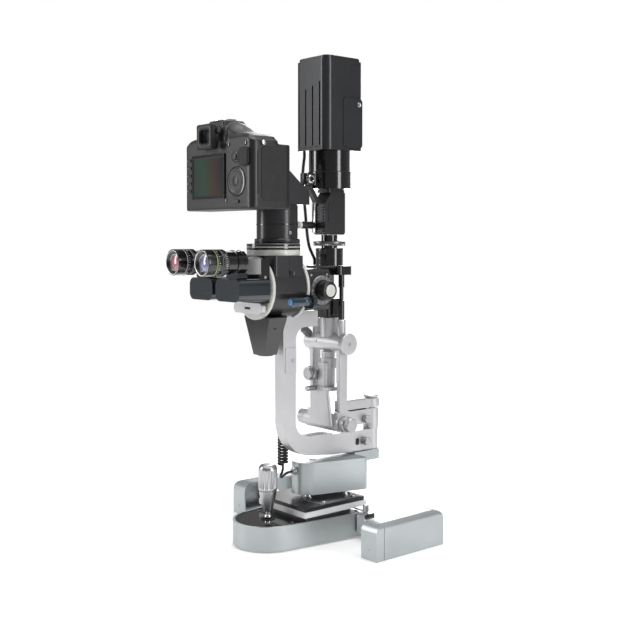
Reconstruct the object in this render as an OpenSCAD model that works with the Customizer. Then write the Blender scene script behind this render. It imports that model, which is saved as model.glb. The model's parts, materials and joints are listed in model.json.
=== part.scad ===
// Slit lamp with a digital camera port: rails, sliding base, column, microscope arm
// and illumination tower. Millimetres. +Z up, +Y towards the patient, +X to the
// examiner's right. The table is z = 0 and the origin is the middle of the footprint.

/* [Layout] */
// Y of the vertical axis that both arms turn on
pivot_y = 148; // [146:1:150]
// Depth of the tower's axis in front of the pivot
tower_reach = 78; // [77:0.5:79]
// Height of the microscope's optical axis
optic_z = 335; // [334:0.5:336]

/* [Base] */
// Height of the base shell's rim
base_top = 33; // [33:0.5:34]
// Radius of the base's round nose
nose_r = 46; // [44:1:47]
// Half width of the base at its rear
base_half = 62; // [60:1:62]
// Wall of the base shell
base_wall = 3; // [2:0.5:3.5]

/* [Rails] */
// Length of a rail cover
cover_len = 120; // [118:1:122]
// Height of a rail cover
cover_h = 46; // [45:1:50]
// Width of a rail cover
cover_w = 28; // [28:0.5:30]
// Distance of a cover's inner side from the middle
cover_in = 124; // [124:1:128]
// Diameter of the running axle
axle_d = 8; // [7:0.5:8]

/* [Joystick] */
// Diameter of the fluted grip
grip_d = 25; // [22:0.5:26]
// Height of the fluted grip
grip_h = 34; // [30:1:34]
// Flutes around the grip
flutes = 20; // [16:1:24]

/* [Arms] */
// Diameter of the pivot shaft
shaft_d = 11; // [10:0.5:12]
// Thickness of the microscope arm
arm_t = 18; // [16:1:20]
// Depth of the microscope arm's upright
arm_deep = 21; // [19:1:22]

/* [Microscope] */
// Diameter of the microscope drum
drum_d = 80; // [78:1:80]
// Diameter of an eyepiece
eyepiece_d = 33; // [30:0.5:34]
// Half of the distance between the eyepieces
eye_half = 33; // [32.5:0.5:34]

/* [Camera] */
// Width of the camera body
camera_w = 148; // [140:1:150]
// Height of the camera body without its hump
camera_h = 92; // [90:1:94]

/* [Lamp] */
// Width of the lamp housing
lamp_w = 65; // [62:1:66]
// Depth of the lamp housing
lamp_deep = 68; // [66:1:68]
// Height of the lamp housing
lamp_h = 124; // [120:1:126]

/* [Hidden] */
$fn = 48;
fit = 0.06;
press = 0.02;
eps = 0.01;

// Places in Y, each a distance in front of the pivot
joy_y = pivot_y - 184;
axle_y = pivot_y - 74;
cover_y = pivot_y - 132;
tray_y = pivot_y - 162;
nose_y = pivot_y - 116;
tower_y = pivot_y - tower_reach;
post_y = pivot_y - 165;
drum_y = pivot_y - 206;
drum_len = 60;
front_y = drum_y + drum_len;
port_y = pivot_y - 174;
tube_y = pivot_y - 168;
camera_y = pivot_y - 263;
camera_deep = 42;
eye_y = pivot_y - 308;

// Heights
axle_z = 20;
rail_h = 8;
pinion_r = 11.9;
tray_z = 38;
housing_z = 57;
housing_h = 40;
bracket_z = 87;
bracket_h = 14;
scope_hub_z = bracket_z + bracket_h + 0.2;
scope_hub_h = 29;
illum_hub_z = scope_hub_z + scope_hub_h + 0.4;
slit_z = 148;
barrel_z = 257;
plate_z = 350;
box_z = 404;
flange_z = 466;
lamp_z = 517;
port_z = 377;
camera_z = 434;

// Tangent normal from circle (a, ra) to circle (b, rb), on the right of a to b
function normal_angle(a, ra, b, rb) =
    atan2(b[1] - a[1], b[0] - a[0]) - acos((ra - rb) / norm(b - a));
function on_circle(c, r, angle) = c + r * [cos(angle), sin(angle)];

// Plan with a round nose of radius r at y0 and a wider rounded rear edge at y1
module teardrop(r, y0, half, y1, corner) {
    nose = [0, y0];
    rear = [half - corner, y1 - corner];
    angle = normal_angle(nose, r, rear, corner);
    p = on_circle(nose, r, angle);
    q = on_circle(rear, corner, angle);
    polygon([p, q, rear, [rear[0], y1], [-rear[0], y1], [-rear[0], rear[1]],
        [-q[0], q[1]], [-p[0], p[1]], nose]);
    translate(nose) circle(r, $fn = 96);
    for (s = [-1, 1]) translate([s * rear[0], rear[1]]) circle(corner);
}

// Rounded rectangle from low to high with true corner arcs
module round_rect(low, high, r) {
    translate([low[0] + r, low[1]]) square([high[0] - low[0] - 2 * r, high[1] - low[1]]);
    translate([low[0], low[1] + r]) square([high[0] - low[0], high[1] - low[1] - 2 * r]);
    for (x = [low[0] + r, high[0] - r], y = [low[1] + r, high[1] - r])
        translate([x, y]) circle(r);
}

// Box between two corners, and the same with its vertical edges rounded
module block(low, high) { translate(low) cube(high - low); }
module round_block(low, high, r) {
    translate([0, 0, low[2]]) linear_extrude(high[2] - low[2])
        round_rect([low[0], low[1]], [high[0], high[1]], r);
}
// Boxes whose edges along X or along Y are rounded
module round_block_x(low, high, r) {
    translate([low[0], 0, 0]) rotate([90, 0, 90]) linear_extrude(high[0] - low[0])
        round_rect([low[1], low[2]], [high[1], high[2]], r);
}
module round_block_y(low, high, r) {
    translate([0, high[1], 0]) rotate([90, 0, 0]) linear_extrude(high[1] - low[1])
        round_rect([low[0], low[2]], [high[0], high[2]], r);
}
// Cylinders along X, Y and Z that start at p
module rod_x(p, d, len) { translate(p) rotate([0, 90, 0]) cylinder(d = d, h = len); }
module rod_y(p, d, len) { translate(p) rotate([-90, 0, 0]) cylinder(d = d, h = len); }
module rod_z(p, d, len) { translate(p) cylinder(d = d, h = len); }
// Knob along Z with chamfered rims, centred on its foot
module knob(d, h, c) {
    rotate_extrude() polygon([[0, 0], [d / 2 - c, 0], [d / 2, c], [d / 2, h - c],
        [d / 2 - c, h], [0, h]]);
}

// ---- Rails ---------------------------------------------------------------
module rails() {
    color("dimgray") for (s = [-1, 1])
        block([s * 138 - 7, cover_y + 3, 0], [s * 138 + 7, cover_y + cover_len - 3, rail_h]);
}

module cover_shape() {
    high = [cover_in + cover_w, cover_y + cover_len, cover_h];
    intersection() {
        round_block_x([cover_in, cover_y, -cover_h], high, 13);
        round_block_y([cover_in - 20, cover_y, -cover_h], high, 7);
        block([cover_in, cover_y, 0], high);
    }
}

module rail_cover() {
    wall = 2;
    seam = cover_y + 13;
    difference() {
        cover_shape();
        block([cover_in - 1, cover_y + wall, -1],
            [cover_in + cover_w - wall, cover_y + cover_len - wall, cover_h - wall - 5]);
        block([cover_in - 1, cover_y + 13, cover_h - wall - 6],
            [cover_in + cover_w - 7, cover_y + cover_len - 13, cover_h - wall]);
        difference() {
            block([cover_in - 1, seam, -1], [cover_in + cover_w + 1, seam + 0.8, cover_h + 1]);
            block([cover_in - 2, seam - 1, -2], [cover_in + cover_w - 0.7, seam + 2, cover_h - 0.7]);
        }
    }
}
module rail_cover_right() { color("silver") rail_cover(); }
module rail_cover_left() { color("silver") mirror([1, 0, 0]) rail_cover(); }

// ---- Running axle --------------------------------------------------------
module axle_sleeve() {
    color("silver") difference() {
        rod_x([-112, axle_y, axle_z], 12, 224);
        rod_x([-113, axle_y, axle_z], axle_d + 2 * fit, 226);
    }
}
module axle() {
    color("gainsboro") rod_x([-145, axle_y, axle_z], axle_d, 290);
    color("dimgray") for (x = [-143, 133]) difference() {
        rod_x([x, axle_y, axle_z], 2 * pinion_r, 10);
        rod_x([x - 1, axle_y, axle_z], axle_d - 1, 12);
        for (i = [0:23]) translate([x - 1, axle_y, axle_z]) rotate([i * 15, 0, 0])
            translate([0, 0, pinion_r - 0.9]) cube([12, 1.2, 2]);
    }
}

// ---- Base ----------------------------------------------------------------
module base_plan(inset) {
    teardrop(nose_r - inset, joy_y, base_half - inset, pivot_y - 60 - inset, 5 - inset);
}
module base_shell() {
    color("silver") difference() {
        translate([0, 0, 2]) linear_extrude(base_top - 2) base_plan(0);
        translate([0, 0, 5]) linear_extrude(base_top) base_plan(base_wall);
        rod_x([-80, axle_y, axle_z], 12.8, 160);
    }
}
module base_top_plate() {
    color("black") difference() {
        translate([0, 0, base_top - 3]) linear_extrude(2) base_plan(base_wall + 0.2);
        rod_z([0, joy_y, base_top - 5], 11, 8);
    }
}
module bearing_blocks() {
    color("dimgray") for (x = [-52, 38]) difference() {
        block([x, axle_y - 9, 5], [x + 14, axle_y + 4, base_top - 3.05]);
        rod_x([x - 1, axle_y, axle_z], 12 + 2 * fit, 16);
    }
    color("dimgray") rod_z([0, joy_y, 0], 30, 2);
}
module clamp_block() {
    x = base_half + 0.2;
    color("silver") difference() {
        round_block_x([x, axle_y - 9, 8], [x + 15, axle_y + 9, 35], 3);
        rod_x([x - 1, axle_y, axle_z], 12.8, 18);
        rod_z([x + 7.5, axle_y, 25], 4 + 2 * fit, 12);
    }
}
module lock_screw() {
    x = base_half + 7.7;
    color("dimgray") {
        rod_z([x, axle_y, 27], 4, 9);
        translate([x, axle_y, 35.3]) knob(8, 10, 0.8);
    }
}
module slide_tray() {
    color("white") {
        round_block([-50, tray_y, tray_z], [50, tray_y + 108, tray_z + 7], 2);
        block([-34, tray_y + 14, base_top - 1], [34, tray_y + 92, tray_z]);
    }
}
module tray_pad() {
    color("black") round_block([-48, tray_y + 2, tray_z + 7], [48, tray_y + 106, tray_z + 12], 2);
}
post_places = [[0, nose_y], [-20, nose_y + 48], [20, nose_y + 48]];
module guide_posts() {
    color("gainsboro") for (p = post_places) {
        rod_z([p[0], p[1], tray_z + 12], 10, 38);
        difference() {
            rod_z([p[0], p[1], tray_z + 12], 16, 1.5);
            rod_z([p[0], p[1], tray_z + 11], 10 + eps, 4);
        }
    }
}

// ---- Joystick ------------------------------------------------------------
joy_z = base_top + 1.5;
module joystick_ball() { color("gainsboro") translate([0, joy_y, joy_z]) sphere(d = 10); }
module joystick_shaft() {
    color("silver") translate([0, joy_y, 0]) {
        rod_z([0, 0, joy_z + 5], 6, 3);
        translate([0, 0, joy_z + 8]) cylinder(d1 = 13, d2 = 24, h = 26);
        rod_z([0, 0, joy_z + 34], 21, 0.8);
        rod_z([0, 0, joy_z + 34.8], 8, 20);
    }
}
module joystick_grip() {
    z = joy_z + 35.1;
    color("silver") translate([0, joy_y, z]) difference() {
        knob(grip_d, grip_h, 2.5);
        translate([0, 0, -1]) cylinder(d = 8 + 2 * fit, h = 22);
        for (i = [0:flutes - 1]) rotate([0, 0, i * 360 / flutes])
            translate([grip_d / 2 + 0.5, 0, 3]) cylinder(d = 2.4, h = grip_h - 8, $fn = 16);
    }
}

// ---- Column --------------------------------------------------------------
module housing_plan(inset) {
    teardrop(22 - inset, nose_y, 41 - inset, pivot_y - 42 - inset, 6 - inset);
}
module column_housing() {
    color("silver") difference() {
        union() {
            difference() {
                translate([0, 0, housing_z]) linear_extrude(housing_h) housing_plan(0);
                translate([0, 0, housing_z - 1]) linear_extrude(housing_h - 3) housing_plan(4);
            }
            for (p = post_places) rod_z([p[0], p[1], housing_z + 2], 17, housing_h - 4);
        }
        for (p = post_places) rod_z([p[0], p[1], housing_z - 1], 10 + 2 * fit, housing_h);
        rod_y([0, nose_y - 26, housing_z + 31], 8.6, 9);
    }
    color("dimgray") rod_y([0, nose_y - 28, housing_z + 31], 8, 10.4);
}
module housing_lid() {
    color("silver") {
        translate([0, 0, housing_z + housing_h]) linear_extrude(2.5) housing_plan(0.8);
        rod_z([0, nose_y + 8, housing_z + housing_h + 2.5], 9, 0.8);
    }
}
module pivot_bracket() {
    y0 = pivot_y - 42 + 0.1;
    color("silver") difference() {
        union() {
            block([-12, y0, bracket_z], [12, pivot_y, bracket_z + bracket_h]);
            rod_z([0, pivot_y, bracket_z], 24, bracket_h);
        }
        rod_z([0, pivot_y, bracket_z - 1], shaft_d + 2 * press, bracket_h + 2);
    }
}
module pivot_shaft() {
    cap_z = slit_z + 25.4;
    color("gainsboro") rod_z([0, pivot_y, bracket_z], shaft_d, cap_z - bracket_z);
    color("silver") translate([0, pivot_y, cap_z]) knob(20, 4, 1);
}

// ---- Microscope arm ------------------------------------------------------
hub_r = 10;
module arm_outline() {
    y0 = post_y;
    y1 = post_y + arm_deep;
    z0 = scope_hub_z;
    z1 = scope_hub_z + scope_hub_h;
    top0 = 281;
    top1 = 302;
    difference() {
        union() {
            difference() {
                round_rect([y0, z0 + 6], [y0 + 220, top1], 20);
                translate([y1, z1 + 3]) round_rect([0, 0], [300, top0 - z1 - 3], 16);
                translate([pivot_y - 106, z1 + 3]) square([200, 300]);
                translate([y0 - 1, z0 + 5]) square([52, 51]);
                translate([pivot_y - 80, 0]) square([200, 300]);
            }
            intersection() {
                translate([y0 + 50, z0 + 56]) circle(50, $fn = 96);
                translate([y0 - 1, z0 + 5]) square([51, 51]);
            }
            polygon([[y0 + 50, z0 + 6], [pivot_y - 80 - eps, z0 + 2], [pivot_y, z0],
                [pivot_y, z1], [pivot_y - 80 - eps, z1 + 1], [y0 + 50, z1 + 3]]);
        }
        translate([y1 + 22, z1 + 25]) circle(22);
        translate([y1, z1 + 25]) square([60, 60]);
        translate([y1 + 22, z1 + 3]) square([60, 60]);
    }
}
module microscope_arm() {
    color("silver") difference() {
        union() {
            translate([-arm_t / 2, 0, 0]) rotate([90, 0, 90]) linear_extrude(arm_t) arm_outline();
            rod_z([0, pivot_y, scope_hub_z], 2 * hub_r, scope_hub_h);
        }
        rod_z([0, pivot_y, scope_hub_z - 1], shaft_d + 2 * fit, scope_hub_h + 2);
        rod_x([arm_t / 2 - 8, pivot_y - 22, scope_hub_z + 14], 5 + 2 * fit, 12);
        for (d = [34, 38]) rod_x([arm_t / 2 - 1, pivot_y - d, scope_hub_z + 13], 1.4, 3);
        block([arm_t / 2 - 1.2, post_y + 3, 222], [arm_t, post_y + arm_deep + 1, 255]);
        rod_y([0, drum_y, optic_z], drum_d - 2 + 2 * fit, drum_len, $fn = 96);
        rod_y([0, front_y - 4 - fit, optic_z], drum_d + 2 + 2 * fit, 4 + 2 * fit, $fn = 96);
    }
    cable_gland();
}
module arm_cover_plate() {
    color("gainsboro") difference() {
        block([arm_t / 2 - 1.1, post_y + 3.2, 222.2], [arm_t / 2 + 0.6, post_y + arm_deep, 254.8]);
        rod_x([arm_t / 2 + 0.2, post_y + 16, 238.5], 7, 2);
    }
}
module arm_clamp_screw() {
    color("silver") {
        rod_x([arm_t / 2 - 6, pivot_y - 22, scope_hub_z + 14], 5, 7);
        translate([arm_t / 2 + 1, pivot_y - 22, scope_hub_z + 14]) rotate([0, 90, 0]) knob(11, 9, 1);
    }
}
module cable_gland() {
    color("black") round_block([-26, post_y + 12, 152], [-arm_t / 2 - 0.05, post_y + 28, 166], 3);
}
coil_x = -18;
coil_y = post_y + 20;
coil_top = 152;
coil_bottom = 93;
module coil_cable() {
    color("black") rod_z([coil_x, coil_y, coil_bottom], 15, coil_top - coil_bottom);
}
// Route of the straight tail, from the coil's foot round to the socket
tail_route = [[coil_x, coil_y, coil_bottom], [coil_x, coil_y, 88.5], [-17.5, coil_y - 2, 84],
    [-15.5, coil_y - 5.5, 81], [-11.5, coil_y - 9, 80], [-6.5, coil_y - 10.5, 81.5],
    [-2.5, coil_y - 9, 85], [-0.5, coil_y - 5, 87.5], [0, coil_y - 2, 88], [0, nose_y - 28, 88]];
module cable_tail() { color("black") sweep(tail_route, 3.6, 8); }
function unit(v) = v / norm(v);
function tangent(p, i) = unit(p[min(i + 1, len(p) - 1)] - p[max(i - 1, 0)]);
function side(t) = unit(cross(t, abs(t[2]) > 0.9 ? [0, 1, 0] : [0, 0, 1]));
// Tube of diameter d with n sides along the points p
module sweep(p, d, n) {
    last = len(p) - 1;
    rings = [for (i = [0:last]) let (t = tangent(p, i), u = side(t), v = cross(t, u))
        for (k = [0:n - 1]) p[i] + d / 2 * (cos(360 * k / n) * u + sin(360 * k / n) * v)];
    walls = [for (i = [0:last - 1], k = [0:n - 1]) let (a = i * n + k, b = i * n + (k + 1) % n)
        each [[a, b + n, b], [a, a + n, b + n]]];
    caps = [[for (k = [0:n - 1]) k], [for (k = [n - 1:-1:0]) last * n + k]];
    polyhedron(rings, concat(walls, caps));
}

// ---- Microscope ----------------------------------------------------------
module microscope_body() {
    splitter_mount();
    color("dimgray") difference() {
        union() {
            rod_y([0, drum_y + 4.2, optic_z], drum_d - 2, drum_len - 8.4, $fn = 96);
            round_block([-36, drum_y + 6, optic_z], [36, drum_y + drum_len - 6, port_z - 0.1], 4);
            round_block([-12, post_y, 302.2], [12, front_y - 5, optic_z], 3);
        }
        block([-60, drum_y, 250], [60, drum_y + 34, 298]);
    }
}
module body_rings() {
    color("white") for (y = [drum_y, drum_y + drum_len - 4]) difference() {
        rod_y([0, y, optic_z], drum_d + 2, 4);
        rod_y([0, y - 1, optic_z], drum_d - 12, 6);
    }
}
module lower_housing() {
    color("dimgray") hull() {
        block([-27, drum_y + 4.3, 297], [27, drum_y + 33, 297.9]);
        translate([0, drum_y + 8, 249]) rotate([-90, 0, 0]) cylinder(d = 3, h = 20, $fn = 16);
        block([-12, drum_y + 8, 248], [12, drum_y + 28, 250]);
    }
}
module changer_housing() {
    color("dimgray") {
        round_block_y([-32, front_y + 0.1, optic_z - 30], [36, front_y + 38, optic_z + 24], 7);
        rod_x([36, front_y + 24, optic_z - 4], 34, 2);
    }
    color("lightsteelblue") rod_y([0, front_y + 38, optic_z - 3], 40, 2);
}
module changer_knob() {
    translate([38.3, front_y + 24, optic_z - 4]) rotate([0, 90, 0]) {
        color("black") knob(24, 15, 1.2);
        color("white") translate([0, 0, 15]) cylinder(d = 15, h = 1.2);
    }
}
module splitter_lever() {
    x = drum_d / 2 + 8;
    color("steelblue") rod_y([x, drum_y + 22, optic_z - 17], 11, 31.7);
    color("dimgray") rod_y([x, drum_y + 53, optic_z - 17], 6, 6);
}
module splitter_mount() {
    x = drum_d / 2 + 8;
    color("dimgray") difference() {
        round_block_y([x - 14, front_y - 6 - eps, optic_z - 26], [x + 8, front_y, optic_z - 9], 5);
        rod_y([x, front_y - 8, optic_z - 17], 6 + 2 * fit, 10);
        rod_y([0, front_y - 7, optic_z], drum_d + 2.4, 8);
    }
}
module binocular_head() {
    head_bracket();
    color("black") difference() {
        hull() {
            block([-34, drum_y - 14, optic_z - 18], [34, drum_y - 0.2, optic_z + 38]);
            block([-28, drum_y - 41, optic_z + 22], [28, drum_y - 36, optic_z + 38]);
        }
        block([-60, drum_y - 60, optic_z - 40], [60, drum_y - 14.05, optic_z + 19]);
    }
}
module head_bracket() {
    color("silver") difference() {
        round_block_y([-30, drum_y - 10, optic_z - 32], [30, drum_y - 4, optic_z - 18.2], 6);
        block([-6, drum_y - 12, optic_z - 27], [6, drum_y - 2, optic_z - 24]);
    }
}
module prism_box(s) {
    x0 = s > 0 ? 3.5 : -55;
    color("darkslategray") difference() {
        round_block_y([x0, drum_y - 62, optic_z - 14], [x0 + 51.5, drum_y - 15, optic_z + 14], 9);
        rod_y([s * eye_half, drum_y - 80, optic_z + 34], eyepiece_d + 8, 90);
    }
    color("black") rod_y([s * 14, drum_y - 15, optic_z], 10, 0.9);
    eye_tube(s);
}
module prism_box_left() { prism_box(-1); }
module prism_box_right() { prism_box(1); }
module eye_tube(s) {
    color("black") {
        rod_y([s * eye_half, drum_y - 58, optic_z + 34], eyepiece_d - 5, 15.5);
        round_block_y([s * eye_half - 12, drum_y - 58, optic_z + 14.1],
            [s * eye_half + 12, drum_y - 43, optic_z + 22], 2);
    }
}
module eyepiece(s) {
    len = drum_y - 58.3 - eye_y;
    color("black") translate([s * eye_half, eye_y, optic_z + 34]) rotate([-90, 0, 0]) rotate_extrude()
        polygon([[0, 5], [11, 5], [13, 0], [eyepiece_d / 2 - 1, 0], [eyepiece_d / 2, 1.5],
            [eyepiece_d / 2, len - 14], [eyepiece_d / 2 - 2, len - 12], [eyepiece_d / 2 - 2, len],
            [0, len]]);
}
module eyepiece_left() { eyepiece(-1); }
module eyepiece_right() { eyepiece(1); }

// ---- Camera port and camera ----------------------------------------------
module port_ring() {
    color("black") {
        rod_z([0, port_y, port_z + 7], 70, 8);
        color("white") rod_z([0, port_y, port_z], 70, 7);
    }
}
module adapter_tube() {
    front = camera_y + camera_deep + 0.2;
    back = pivot_y - 133;
    base = port_z + 15.1;
    mid = camera_z + 8;
    top = 500;
    color("dimgray") {
        rod_z([0, tube_y, base], 54, mid - base);
        difference() {
            round_block([-29, front, mid + 0.8], [29, back, top], 8);
            translate([0, back, mid + 26]) rotate([50, 0, 0]) block([-50, -10, 0], [50, 80, 90]);
        }
        rod_z([0, tube_y, mid], 52, 0.8);
    }
}
module camera_shape() {
    x = camera_w / 2;
    y = camera_y;
    z = camera_z;
    top = z + camera_h;
    round_block([-x, y, z], [x, y + camera_deep, top - 4], 7);
    round_block([-x + 4, y + 2, top - 4], [x - 4, y + camera_deep - 2, top], 6);
    round_block([x - 36, y + 6, z], [x, y + 62, top - 10], 9);
}
module camera_body() {
    z = camera_z;
    top = z + camera_h;
    color("black") difference() {
        union() {
            camera_shape();
            hull() {
                block([-30, camera_y - 2, top - 8], [22, camera_y + camera_deep, top - 4]);
                block([-20, camera_y + 2, top + 19], [12, camera_y + camera_deep - 8, top + 20]);
            }
        }
        block([-50, camera_y - 3, z + 18], [15, camera_y + 1, z + 66]);
        rod_y([42, camera_y - 1, z + 34], 32, 2.5);
        rod_z([-50, camera_y + 20, top - 2], 18, 5);
        rod_z([55, camera_y + 48, top - 14], 10, 7);
    }
    eyecup();
}
module camera_screen() {
    color("midnightblue")
        block([-49.8, camera_y - 1.5, camera_z + 18.2], [14.8, camera_y + 0.9, camera_z + 65.8]);
}
module eyecup() {
    color("black") difference() {
        round_block_y([-24, camera_y - 14, camera_z + 76], [8, camera_y - 2.1, camera_z + 106], 6);
        round_block_y([-18, camera_y - 15, camera_z + 82], [2, camera_y - 6, camera_z + 100], 3);
    }
}
module quick_dial() {
    color("dimgray") translate([42, camera_y + 1.2, camera_z + 34]) rotate([90, 0, 0]) {
        knob(31, 2.6, 0.5);
    }
}
module mode_dial() {
    color("dimgray") translate([-50, camera_y + 20, camera_z + camera_h - 1.8]) knob(17.4, 9, 0.6);
}
module shutter_button() {
    color("silver") translate([55, camera_y + 48, camera_z + camera_h - 11.7]) knob(9.4, 4, 0.6);
}

// ---- Illumination arm ----------------------------------------------------
eye_out = 12;
module illumination_arm() {
    z0 = slit_z - 9;
    color("silver") difference() {
        union() {
            rod_x([-9, tower_y, slit_z], 2 * eye_out, 18);
            block([-9, tower_y, z0], [9, pivot_y, slit_z + 11]);
            block([-9, tower_y + 18, slit_z + 13], [9, pivot_y, slit_z + 25]);
            block([-7, tower_y + 18, slit_z + 10], [7, pivot_y - 8, slit_z + 14]);
            rod_z([0, pivot_y, illum_hub_z], 22, slit_z + 11 - illum_hub_z);
            rod_z([0, pivot_y, slit_z + 13], 24, 12);
        }
        rod_z([0, pivot_y, illum_hub_z - 1], shaft_d + 2 * fit, 100);
        rod_x([-10, tower_y, slit_z], 10 + 2 * fit, 20);
        rod_x([2, pivot_y - 20, slit_z - 2], 5 + 2 * fit, 12);
    }
}
module illum_clamp_screw() {
    color("silver") {
        rod_x([4, pivot_y - 20, slit_z - 2], 5, 6);
        translate([10, pivot_y - 20, slit_z - 2]) rotate([0, 90, 0]) knob(11, 7, 1);
    }
}

// ---- Illumination tower --------------------------------------------------
module slit_barrel() {
    color("silver") difference() {
        union() {
            for (x = [[-42, -9.3], [9.3, 30]]) rod_x([x[0], tower_y, slit_z], 24, x[1] - x[0]);
            rod_x([-10, tower_y, slit_z], 10, 20);
            hull() for (s = [-1, 1]) {
                rod_z([s * 21, tower_y - 15.2, slit_z - 2], 5, 1);
                rod_z([s * 13, tower_y - 15.2, slit_z + 44], 5, 1);
            }
            block([-16, tower_y - 17, slit_z + 44], [16, tower_y + 9, slit_z + 49]);
            for (x = [-15.5, 15.5])
                block([x - 6, tower_y - 17, slit_z - 3], [x + 6, tower_y, slit_z + 3]);
        }
        rod_x([-43, tower_y, slit_z], 6 + 2 * fit, 33);
        rod_x([10.05, tower_y, slit_z], 6 + 2 * fit, 30);
        rod_x([-9.2, tower_y, slit_z], 24.4, 18.4);
    }
    color("silver") rod_x([-9.25, tower_y, slit_z], 10, 18.5);
    fork_columns();
}
module slit_knobs() {
    color("silver") {
        translate([-42.4, tower_y, slit_z]) rotate([0, -90, 0]) {
            knob(21, 16, 1);
            translate([0, 0, -14]) cylinder(d = 6, h = 14);
        }
        translate([30.4, tower_y, slit_z]) rotate([0, 90, 0]) {
            knob(21, 9, 1);
            translate([0, 0, 9]) knob(18, 8, 1);
            translate([0, 0, -14]) cylinder(d = 6, h = 14);
        }
    }
}
module fork_columns() {
    z0 = slit_z + 12.3;
    z1 = barrel_z - 12.2;
    color("silver") for (x = [-34, 22]) difference() {
        union() {
            round_block([x, tower_y - 7, z0], [x + 8, tower_y + 7, z1], 2);
            block([x, tower_y - 10, slit_z], [x + 8, tower_y + 10, z0 + 4]);
            block([x, tower_y - 8, z1], [x + 8, tower_y + 8, barrel_z - 6]);
        }
        rod_x([x - 1, tower_y, slit_z], 24.1, 10);
        rod_x([x - 1, tower_y, barrel_z], 24.1, 10);
    }
}
module centre_column() {
    color("silver") difference() {
        union() {
            rod_z([0, tower_y - 2, slit_z + 49.1], 18, barrel_z - 12.2 - slit_z - 49.1);
            rod_z([0, tower_y - 2, slit_z + 74], 22, 14);
            round_block([-9, tower_y - 15, slit_z + 49.1], [9, tower_y - 2, slit_z + 82], 4);
            block([-17, tower_y - 15, slit_z + 56], [-8, tower_y - 5, slit_z + 70]);
        }
        rod_y([-13, tower_y - 17, slit_z + 76], 1, 1);
    }
    color("dimgray") rod_z([5, tower_y + 12, slit_z + 52], 5, 42);
}
module decentring_knob() {
    color("silver") translate([-16, tower_y - 16.5, slit_z + 66]) rotate([90, 0, 0]) {
        translate([0, 0, -1.4]) cylinder(d = 5, h = 2);
        knob(20, 5, 0.8);
        translate([0, 0, 5]) knob(17, 5, 0.8);
    }
}
module tilt_latch() {
    color("dimgray") translate([-11, tower_y - 17.9, slit_z + 46.5]) rotate([90, 0, 0]) {
        knob(7, 14, 0.6);
    }
}
module upper_barrel() {
    color("silver") difference() {
        union() {
            rod_x([-41, tower_y, barrel_z], 24, 75);
            translate([34, tower_y, barrel_z]) rotate([0, 90, 0]) knob(28, 7, 0.8);
            rod_z([0, tower_y, barrel_z + 8], 26, 26);
            for (x = [-27, 25]) rod_z([x, tower_y, barrel_z + 8], 11, 24);
        }
        rod_y([-14, tower_y - 13, barrel_z + 2], 2.4, 3);
        rod_x([39.5, tower_y, barrel_z], 5, 3);
    }
}
module brake_knob() {
    color("dimgray") translate([-33, tower_y - 8.6, barrel_z + 9.2]) rotate([50, 0, 0]) {
        knob(11, 13, 0.8);
    }
}
module guide_rods() {
    z0 = barrel_z + 32.1;
    color("black") for (x = [-27, 25]) {
        rod_z([x, tower_y, z0], 8, 26);
        rod_z([x, tower_y, z0 + 26], 5.6, 18);
        rod_z([x, tower_y, z0 + 44], 8, plate_z - z0 - 44.1);
    }
}
module mirror_head() {
    z0 = barrel_z + 34.2;
    color("black") difference() {
        round_block([-10, tower_y - 11, z0], [10, tower_y + 11, z0 + 34], 3);
        translate([0, tower_y + 11, z0 + 6]) rotate([45, 0, 0]) block([-20, 0, -1], [20, 60, 60]);
        translate([0, tower_y - 2, z0 + 19]) rotate([45, 0, 0]) block([-8.1, -9, -0.9], [8.1, 9, 2]);
    }
}
module mirror_glass() {
    z0 = barrel_z + 34.2;
    color("lightblue") translate([0, tower_y - 2, z0 + 19]) rotate([45, 0, 0])
        block([-8, -8.9, -0.85], [8, 8.9, 0.9]);
}
module tower_plate() {
    guide_rods();
    lens_barrel();
    color("black") {
        round_block([-38, tower_y - 13, plate_z], [34, tower_y + 13, plate_z + 12], 6);
        for (x = [-2, 2, 6, 10]) rod_z([x, tower_y - 2, plate_z - 12], 2.4, 12);
    }
}
module lens_barrel() {
    z = plate_z + 12.1;
    color("dimgray") {
        difference() {
            rod_z([0, tower_y, z], 37, 24);
            for (i = [0:7]) rotate_about(i * 45) block([18, -3, z - 1], [20, 3, z + 26]);
        }
        rod_z([0, tower_y, z + 24], 22, 17.7);
    }
}
module rotate_about(angle) { translate([0, tower_y, 0]) rotate([0, 0, angle]) children(); }
module diaphragm_ring() {
    z = plate_z + 39;
    color("silver") difference() {
        rod_z([0, tower_y, z], 44, 6);
        rod_z([0, tower_y, z - 1], 22 + 2 * fit, 8);
        for (i = [0:29]) rotate_about(i * 12) block([20.8, -1, z - 1], [24, 1, z + 7]);
    }
}
module filter_box() {
    color("dimgray") difference() {
        round_block_x([-12, tower_y - 18, box_z], [12, tower_y + 18, flange_z - 0.1], 4);
        block([-13, tower_y - 20, flange_z - 5], [13, tower_y + 20, flange_z + 5]);
        translate([0, tower_y - 19, flange_z - 22]) rotate([55, 0, 0]) block([-13, -5, 0], [13, 40, 40]);
        block([11.4, tower_y - 12, box_z + 18], [13, tower_y + 2, box_z + 42]);
        rod_x([9, tower_y - 8, box_z + 35], 3, 4);
    }
    color("dimgray") round_block([-12, tower_y - 12, flange_z - 5], [12, tower_y + 18, flange_z - 0.1], 3);
    color("black") for (i = [0:8])
        block([-3, tower_y - 20, box_z + 4 + 4 * i], [9, tower_y - 18, box_z + 6 + 4 * i]);
}
module rotation_handle() {
    color("black") translate([-7.2, tower_y - 18.3, box_z + 13]) rotate([90, 0, 0]) {
        cylinder(d = 7, h = 6);
        translate([0, 0, 6]) knob(9.5, 20, 0.6);
        color("white") translate([0, 0, 26]) knob(9, 5, 1);
    }
}
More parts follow.
